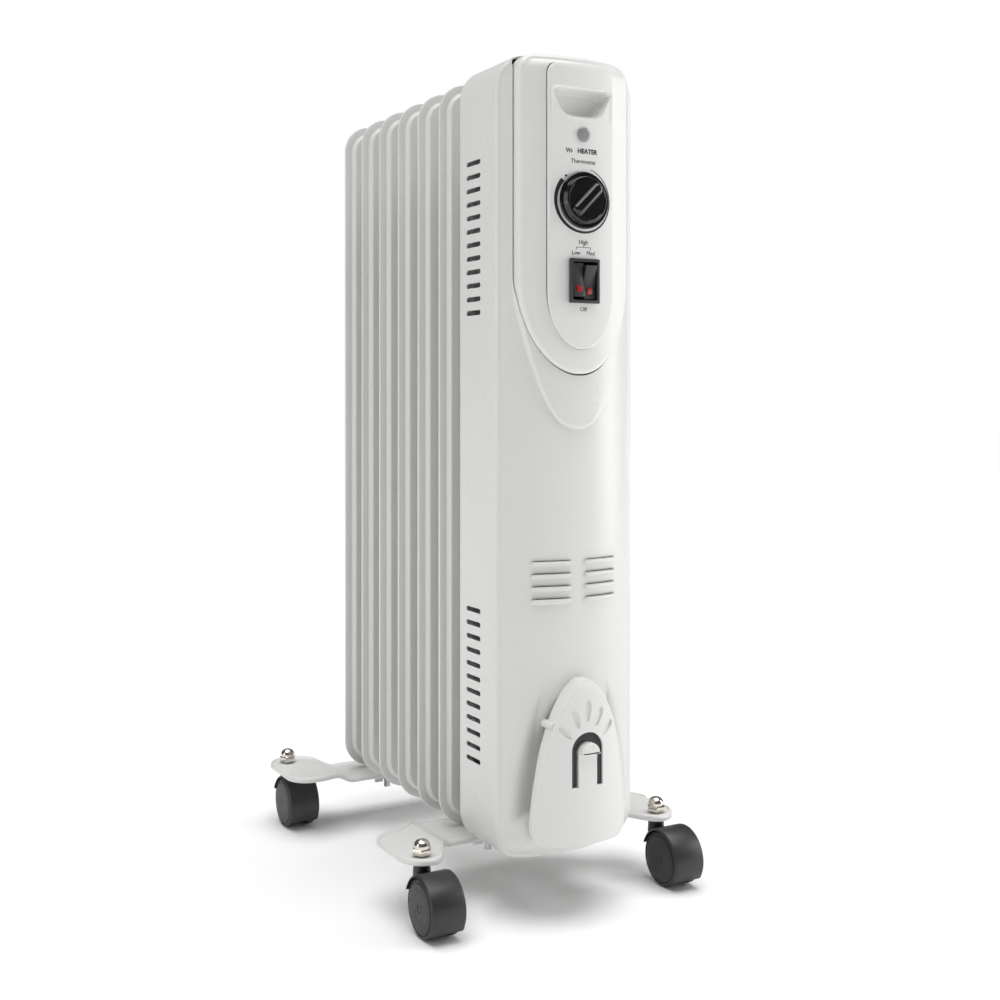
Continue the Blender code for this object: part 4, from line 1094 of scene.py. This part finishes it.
def cord_bracket():
    """The moulded wing that the cord winds on: a round rim, petals, a tongue and two posts."""
    inset = 1.2 * MM
    bottom, top = BRACKET_BOTTOM, BRACKET_TOP
    heights = spread(bottom + inset, bottom + 14 * MM, 1.6 * MM)
    heights += spread(bottom + 17 * MM, top - 12 * MM, 4 * MM)
    heights += spread(top - 10 * MM, top - inset, 1.4 * MM)
    rows = []
    for z in heights:
        half = max(bracket_half(z) - inset, 1.2 * MM)
        rows.append((z, [half * (i / 12 - 1) for i in range(25)]))
    rear = BRACKET_Y + 16 * MM
    wing = pressed_skin("cord_bracket_wing", rows, bracket_depth, inset, rear, 2.0 * MM)
    for x, up, turn, length in PETALS:
        boolean(wing, petal(x * MM, FIN_BOTTOM + up * MM, turn, length, 5.2))
    foot, arch, wide, narrow = TONGUE_FOOT, ARCH_Z, 13 * MM, 7.7 * MM
    outline = arc((0, arch), wide, 0, 180, 28) + [(-wide, foot), (-narrow, foot)]
    outline += arc((0, arch - 2 * MM), narrow, 180, 0, 24) + [(narrow, foot), (wide, foot)]
    slot = [grown(list(reversed(outline)), -grow * MM) for grow in (-0.5, 0, 0)]
    rings = []
    for each, depth in zip(slot, (-6, 0.4, 9)):
        rings.append([(x, BRACKET_Y + depth * MM, z) for x, z in each])
    boolean(wing, lofted("tongue_slot", rings))
    head = arc((1 * MM, arch - 2 * MM), 7.6 * MM, -8, 188, 28)
    steps = [(2.0, 0), (0.6, 0), (-1.4, 0), (-2.6, 0.35), (-3.2, 0.9), (-3.4, 1.8)]
    rings = []
    for depth, grow in steps:
        rings.append([(x, BRACKET_Y + depth * MM, z) for x, z in grown(head, -grow * MM)])
    boolean(wing, lofted("tongue_head", rings), "UNION")
    for x in (-24 * MM, 24 * MM):
        front, rear = bracket_depth(x, POST_Z) + 1.9 * MM, cover_depth(x, POST_Z) - 0.4 * MM
        post = circle((x, POST_Z), 3 * MM, 24)
        boolean(wing, slab("post", post, "Y", front, rear), "UNION")
    piece(wing, WHITE, replaces=["cord_bracket"])
    # A near-black sheet just behind the tongue's slot is painted shade: it stands in for the dark
    # inside of the through-slot.
    shade_sheet_outline = [(x * 1.12, (z - arch) * 1.05 + arch) for x, z in outline]
    front, rear = BRACKET_Y + 2.8 * MM, BRACKET_Y + 3.6 * MM
    piece(slab("tongue_slot_shade_sheet", shade_sheet_outline, "Y", front, rear, 0.2 * MM), NYLON)


louvre_hoods()
cord_bracket()


# Print on the fascia

HAIRLINE = 0.35 * MM
FILM = 0.04 * MM


def printed(obj):
    """Flat work laid on the bowed fascia as a thin closed film."""
    for vert in obj.data.vertices:
        x, z, film = vert.co
        vert.co = (x, fascia_depth(x, z) + (0.1 * MM if film < 0 else -0.14 * MM), z)
    obj.data.update()
    return obj


def words(text, x, z, height, weight=0.0):
    """A word centred on a place, with its capitals this tall."""
    curve = bpy.data.curves.new(f"word_{text}", "FONT")
    curve.body = text
    curve.size = height / 0.7
    curve.align_x = "CENTER"
    curve.align_y = "CENTER"
    curve.extrude = FILM
    curve.offset = weight
    curve.resolution_u = 4
    source = bpy.data.objects.new(f"word_{text}", curve)
    bpy.context.scene.collection.objects.link(source)
    bpy.context.view_layer.update()
    graph = bpy.context.evaluated_depsgraph_get()
    mesh = bpy.data.meshes.new_from_object(source.evaluated_get(graph))
    bpy.data.objects.remove(source)
    mesh.transform(Matrix.Translation((x, z, 0)))
    work = bmesh.new()
    work.from_mesh(mesh)
    bmesh.ops.remove_doubles(work, verts=work.verts, dist=1e-6)
    work.to_mesh(mesh)
    work.free()
    return shown(f"word_{text}", mesh)


def stroke(points):
    """A line through (x, z, width) points."""
    rings = []
    for i, (x, z, width) in enumerate(points):
        before, after = points[max(i - 1, 0)], points[min(i + 1, len(points) - 1)]
        run = Vector((after[0] - before[0], after[1] - before[1])).normalized() * width / 2
        near, far = (x - run.y, z + run.x), (x + run.y, z - run.x)
        rings.append([(*near, FILM), (*far, FILM), (*far, -FILM), (*near, -FILM)])
    return lofted("stroke", rings)


def fascia_print():
    """Setting words, the knob's tapering scale with its dot, and a small warmth mark."""
    marks = [
        words("Thermostat", 0, KNOB_Z + 28 * MM, 3.1 * MM),
        words("HEATER", 3.4 * MM, KNOB_Z + 35.4 * MM, 3.3 * MM, 0.16 * MM),
        words("High", 0, SWITCH_Z + 27.8 * MM, 3 * MM),
        words("Low", -6.2 * MM, SWITCH_Z + 20.2 * MM, 2.9 * MM),
        words("Med", 6.2 * MM, SWITCH_Z + 20.2 * MM, 2.9 * MM),
        words("Off", 0, SWITCH_Z - 20.4 * MM, 3 * MM),
    ]
    link = [(-6, 22.6), (-6, 24.3), (6, 24.3), (6, 22.6)]
    for ends in (*zip(link, link[1:]), ((0, 24.2), (0, 25.6))):
        marks.append(stroke([(x * MM, SWITCH_Z + z * MM, HAIRLINE) for x, z in ends]))
    scale = []
    for i in range(61):
        angle = math.radians(140 + 295 * i / 60)
        width = (3.2 - 2.8 * (i / 60) ** 0.7) * MM
        radius = 23.7 * MM - width / 2
        scale.append((radius * math.cos(angle), KNOB_Z + radius * math.sin(angle), width))
    marks.append(stroke(scale))
    start, reach = 2.27, 22.3 * MM
    place = (reach * math.cos(start), KNOB_Z + reach * math.sin(start))
    dot = circle(place, 0.9 * MM, 20)
    marks.append(lofted("dot", [[(x, z, film) for x, z in dot] for film in (-FILM, FILM)]))
    for x in (-13.6, -11.8, -10.0):
        wave = []
        for i in range(13):
            up = i / 12
            side = 0.55 * math.sin(2 * math.pi * up)
            width = 0.75 * math.sin(math.pi * (0.1 + 0.8 * up))
            wave.append(((x + side) * MM, KNOB_Z + (33.7 + 3.6 * up) * MM, width * MM))
        marks.append(stroke(wave))
    for mark in marks:
        printed(mark)
    film = joined("fascia_print", marks)
    film.data.materials.clear()
    shade(film.data, 30)
    piece(film, INK)


fascia_print()


# Feet

FOOT_END = 118.7 * MM
FOOT_CORNER = 20 * MM
PLATE_TOP = FIN_BOTTOM + 6.5 * MM
BAR_TOP = FIN_BOTTOM - 0.3 * MM
STEP = (62 * MM, 80 * MM)
FEET = {
    "front": {
        "bar": (FIRST_FIN_Y + 5 * MM, FIRST_FIN_Y + 58 * MM),
        "plate": (FIRST_FIN_Y - 42 * MM, FIRST_FIN_Y + 33 * MM),
        "bolt": FIRST_FIN_Y + FIN_PITCH / 2,
        "stem": FIRST_FIN_Y - 28 * MM,
    },
    "rear": {
        "bar": (FIRST_FIN_Y + 195 * MM, FIRST_FIN_Y + 248 * MM),
        "plate": (FIRST_FIN_Y + 188 * MM, FIRST_FIN_Y + 268 * MM),
        "bolt": FIRST_FIN_Y + (FIN_COUNT - 1.5) * FIN_PITCH,
        "stem": FIRST_FIN_Y + 250 * MM,
    },
}
STEM_X = 103 * MM
BOLT_X = 23.6 * MM


def foot_bar(end):
    """A pressed channel with rolled lips and a bead on each side, stepped up to two plates."""
    facts = FEET[end]
    inner_end = FOOT_END - FOOT_CORNER
    turns = [math.radians(a) for a in (0, 12, 24, 36, 48, 60, 74, 90)]
    stations = [inner_end + FOOT_CORNER * math.cos(turn) for turn in turns]
    stations += spread(inner_end, STEP[1], 2 * MM)[1:] + spread(STEP[1], STEP[0], 1.5 * MM)[1:]
    stations += spread(STEP[0], 0, 8 * MM)[1:]
    stations += [-x for x in reversed(stations[:-1])]
    work = bmesh.new()
    rows = []
    for x in stations:
        share = smooth((abs(x) - STEP[0]) / (STEP[1] - STEP[0]))
        top = BAR_TOP + (PLATE_TOP - BAR_TOP) * share
        wide = smooth((abs(x) - STEP[0]) / (inner_end - STEP[0]))
        edges = zip(facts["bar"], facts["plate"])
        low, high = [bar + (plate - bar) * wide for bar, plate in edges]
        back = drop(FOOT_END - abs(x), FOOT_CORNER)
        edge = [(low + back, 1), (high - back, -1)]
        lip = [(0, -4.0), (0, -2.2), (0.3, -1.1), (1.1, -0.3), (2.2, 0), (4.4, 0)]
        lip += [(5.2, -0.5), (6.0, -0.9), (8.5, -0.9)]
        section = []
        for y, side in edge:
            run = [(y + side * along * MM, top + down * MM) for along, down in lip]
            section += run if side > 0 else list(reversed(run))
        rows.append([work.verts.new((x, y, z)) for y, z in section])
    for first, second in zip(rows, rows[1:]):
        for i in range(len(first) - 1):
            work.faces.new((first[i], first[i + 1], second[i + 1], second[i]))
    for row in (rows[0], rows[-1]):
        side = 1 if row[0].co.x > 0 else -1
        down = ring(work, [(v.co.x, v.co.y, min(v.co.z, row[1].co.z)) for v in row])
        foot = ring(work, [(v.co.x, v.co.y, row[0].co.z) for v in row])
        for first, second in ((row, down), (down, foot)):
            for i in range(len(first) - 1):
                corners = (first[i], second[i], second[i + 1], first[i + 1])
                work.faces.new(corners if side > 0 else corners[::-1])
    bmesh.ops.remove_doubles(work, verts=work.verts, dist=0.02 * MM)
    bmesh.ops.dissolve_degenerate(work, edges=work.edges, dist=0.01 * MM)
    bmesh.ops.recalc_face_normals(work, faces=work.faces)
    work.faces.ensure_lookup_table()
    uppermost = max(work.faces, key=lambda face: face.calc_center_median().z)
    if uppermost.normal.z < 0:
        bmesh.ops.reverse_faces(work, faces=work.faces)
    mesh = bpy.data.meshes.new("foot")
    work.to_mesh(mesh)
    work.free()
    foot_piece = shown(f"{end}_foot_channel", mesh)
    wall = foot_piece.modifiers.new("wall", "SOLIDIFY")
    wall.thickness = 1.8 * MM
    wall.offset = -1
    applied(foot_piece)
    holes = [(-STEM_X, facts["stem"], 4.3), (STEM_X, facts["stem"], 4.3)]
    holes += [(-BOLT_X, facts["bolt"], 3.3), (BOLT_X, facts["bolt"], 3.3)]
    for x, y, radius in holes:
        hole = circle((x, y), radius * MM, 24)
        boolean(foot_piece, slab("hole", hole, "Z", BAR_TOP - 20 * MM, BAR_TOP + 20 * MM))
    piece(foot_piece, STEEL, replaces=[f"{end}_foot_bar"])


def cap_nut(where, x, y):
    """A hexagon dome nut with chamfered corners."""
    base = PLATE_TOP + 0.3 * MM
    rings = []
    for z, radius in ((0.0, 6.5), (0.3, 7.0), (0.9, 7.4), (4.2, 7.4), (4.8, 7.0), (5.1, 6.4)):
        rings.append([(x + u, y + v, base + z * MM) for u, v in circle((0, 0), radius * MM, 6)])
    nut = lofted(f"{where}_dome_nut", rings, 20)
    turns = (0.2, 0.45, 0.7, 0.95, 1.2, 1.4)
    dome = [(0, 3.5), (6, 3.5), (6.1, 6.2)]
    dome += [(6.1 * math.cos(a), 6.2 + 5.0 * math.sin(a)) for a in turns] + [(0, 11.2)]
    cap = turned("cap", [(r * MM, z * MM) for r, z in dome], "Z", (x, y, base), 48)
    boolean(nut, cap, "UNION")
    piece(nut, NICKEL, replaces=[f"{where}_cap_nut"])


# Casters

WHEEL_RADIUS = 21 * MM
TRAIL = 22 * MM
HOOD_RADIUS = 23 * MM
HOOD_HALF = 13.4 * MM


def caster_hood(where, x, y):
    """The hood over both wheels, with rounded shoulders, a web between and a neck on top."""
    centre = Vector((x, y - TRAIL, WHEEL_RADIUS))
    shoulder = 2 * MM
    section = [(HOOD_RADIUS - 1.4 * MM, HOOD_HALF)]
    for a in (0.5, 1.0, 1.57):
        out, side = HOOD_RADIUS - shoulder, HOOD_HALF - shoulder
        section.append((out + shoulder * math.sin(a), side + shoulder * math.cos(a)))
    outline = section + [(r, -w) for r, w in reversed(section)]
    outline += [(HOOD_RADIUS - 1.6 * MM, -HOOD_HALF), (HOOD_RADIUS - 1.6 * MM, HOOD_HALF)]
    rings = []
    for step in range(49):
        angle = math.radians(20 + 195 * step / 48)
        c, s = math.cos(angle), math.sin(angle)
        rings.append([(centre.x + w, centre.y + r * c, centre.z + r * s) for r, w in outline])
    hood = lofted(f"{where}_hood_shell", rings)
    web = arc((centre.y, centre.z), HOOD_RADIUS - 1 * MM, 0, 215, 40)
    web += arc((centre.y, centre.z), 6 * MM, 250, 330, 8)
    boolean(hood, slab("web", web, "X", x - 2.8 * MM, x + 2.8 * MM), "UNION")
    neck = [(0, 34.5), (6.6, 34.5), (6.2, 42), (6, 44.5), (6, 47.2), (5.6, 47.6), (0, 47.6)]
    neck_piece = turned("neck", [(r * MM, z * MM) for r, z in neck], "Z", (x, y, 0), 40)
    boolean(hood, neck_piece, "UNION")
    bore = [(0, 36), (4.3, 36), (4.3, 60), (0, 60)]
    boolean(hood, turned("socket", [(r * MM, z * MM) for r, z in bore], "Z", (x, y, 0), 24))
    piece(hood, NYLON, f"{where}_caster", [f"{where}_caster_hood"])


def caster_wheel(where, letter, x, y):
    """A wheel with a crowned tread, a hub, and a groove round its outer face."""
    side = -1 if letter == "a" else 1
    profile = [(2.8, 3.4), (8, 3.4), (8, 6.2), (19.4, 6.2), (20.4, 6.6), (20.9, 7.6), (21, 9)]
    profile += [(20.9, 10.4), (20.3, 11.6), (19.4, 12.3), (18.4, 12.5), (18.2, 11.9)]
    profile += [(17.7, 11.9), (17.4, 12.6), (16.9, 12.8), (10, 12.8), (2.8, 12.8)]
    points = [(r * MM, side * w * MM) for r, w in profile]
    wheel = turned(f"{where}_wheel_{letter}_disc", points, "X", (x, y - TRAIL, WHEEL_RADIUS), 72)
    piece(wheel, WHEEL, f"{where}_wheel_{letter}_body", [f"{where}_wheel_{letter}"])
    cap = [(0, 12.8), (1.8, 12.8), (2.3, 12.6), (2.5, 12.2), (2.5, 10.5), (0, 10.5)]
    points = [(r * MM, side * w * MM) for r, w in cap]
    pin = turned(f"{where}_axle_end_{letter}", points, "X", (x, y - TRAIL, WHEEL_RADIUS), 32)
    piece(pin, NYLON, f"{where}_caster")


for foot_end, foot_facts in FEET.items():
    foot_bar(foot_end)
    for foot_side, foot_sign in SIDES:
        corner_name = f"{foot_end}_{foot_side}"
        cap_nut(corner_name, foot_sign * STEM_X, foot_facts["stem"])
        caster_hood(corner_name, foot_sign * STEM_X, foot_facts["stem"])
        for wheel_letter in "ab":
            caster_wheel(corner_name, wheel_letter, foot_sign * STEM_X, foot_facts["stem"])


# Pieces that keep the frame's own shape

for node_name, node_material in (
    ("heating_element", ZINC),
    ("oil_filler_plug", ZINC),
    ("element_flange", BRASS),
    ("thermostat_shaft", BRASS),
    ("heat_shield", GALVANISED),
    ("thermal_cutout", PHENOLIC),
    ("terminal_block", PHENOLIC),
    ("thermostat_body", PHENOLIC),
    ("cord_gland", NYLON),
    ("wiring_loom", NYLON),
    ("front_u_bolt", ZINC),
    ("rear_u_bolt", ZINC),
):
    kept(node_name, node_material)
for corner_name in ("front_left", "front_right", "rear_left", "rear_right"):
    for node_name in ("wing_nut", "stem", "axle"):
        kept(f"{corner_name}_{node_name}", ZINC)


# Camera, lights and floor


def area_light(name, place, target, size, power):
    data = bpy.data.lights.new(name, "AREA")
    data.shape = "RECTANGLE"
    data.size, data.size_y = size
    data.energy = power
    lamp = bpy.data.objects.new(name, data)
    bpy.context.scene.collection.objects.link(lamp)
    lamp.location = place
    lamp.rotation_euler = (Vector(target) - Vector(place)).to_track_quat("-Z", "Y").to_euler()


def studio():
    """A pale floor under two softboxes and a broad overhead light, and the camera."""
    area_light("left_softbox", (-2.4, -0.2, 0.9), (0, 0, 0.3), (1.2, 2.0), 12)
    area_light("right_softbox", (2.2, -1.1, 0.9), (0, -0.1, 0.3), (0.9, 2.0), 30)
    overhead = bpy.data.lights.new("overhead_cloth", "SUN")
    overhead.energy = 3.15
    overhead.angle = math.radians(60)
    lamp = bpy.data.objects.new("overhead_cloth", overhead)
    lamp.location = (0, 0, 3)
    bpy.context.scene.collection.objects.link(lamp)
    world = bpy.data.worlds.new("studio")
    world.use_nodes = True
    tree = world.node_tree
    seen = add(tree, "ShaderNodeLightPath").outputs["Is Camera Ray"]
    strength = add(tree, "ShaderNodeMapRange", {"Value": seen, "To Min": 0.14, "To Max": 1.0})
    background = tree.nodes["Background"]
    background.inputs["Color"].default_value = linear("FFFFFF")
    tree.links.new(strength.outputs["Result"], background.inputs["Strength"])
    bpy.context.scene.world = world
    work = bmesh.new()
    bmesh.ops.create_grid(work, x_segments=1, y_segments=1, size=12)
    mesh = bpy.data.meshes.new("studio_floor")
    work.to_mesh(mesh)
    work.free()
    floor = shown("studio_floor", mesh)
    paper, tree, shader, place = finish("seamless_white_paper", "F7F7F7", 0.8)
    surface(tree, shader, place, 1 * MM, (0.75, 0.85), 0.01 * MM)
    mesh.materials.append(paper)
    data = bpy.data.cameras.new("camera")
    data.lens = 47.73
    data.sensor_width = 36
    data.shift_y = -0.1048
    data.clip_end = 60
    camera = bpy.data.objects.new("camera", data)
    camera.location = (-0.5173, -0.9751, 0.38035)
    camera.rotation_euler = (math.radians(90), 0, math.radians(-29.12))
    bpy.context.scene.collection.objects.link(camera)
    bpy.context.scene.camera = camera
    bpy.context.scene.view_settings.view_transform = "Standard"


studio()
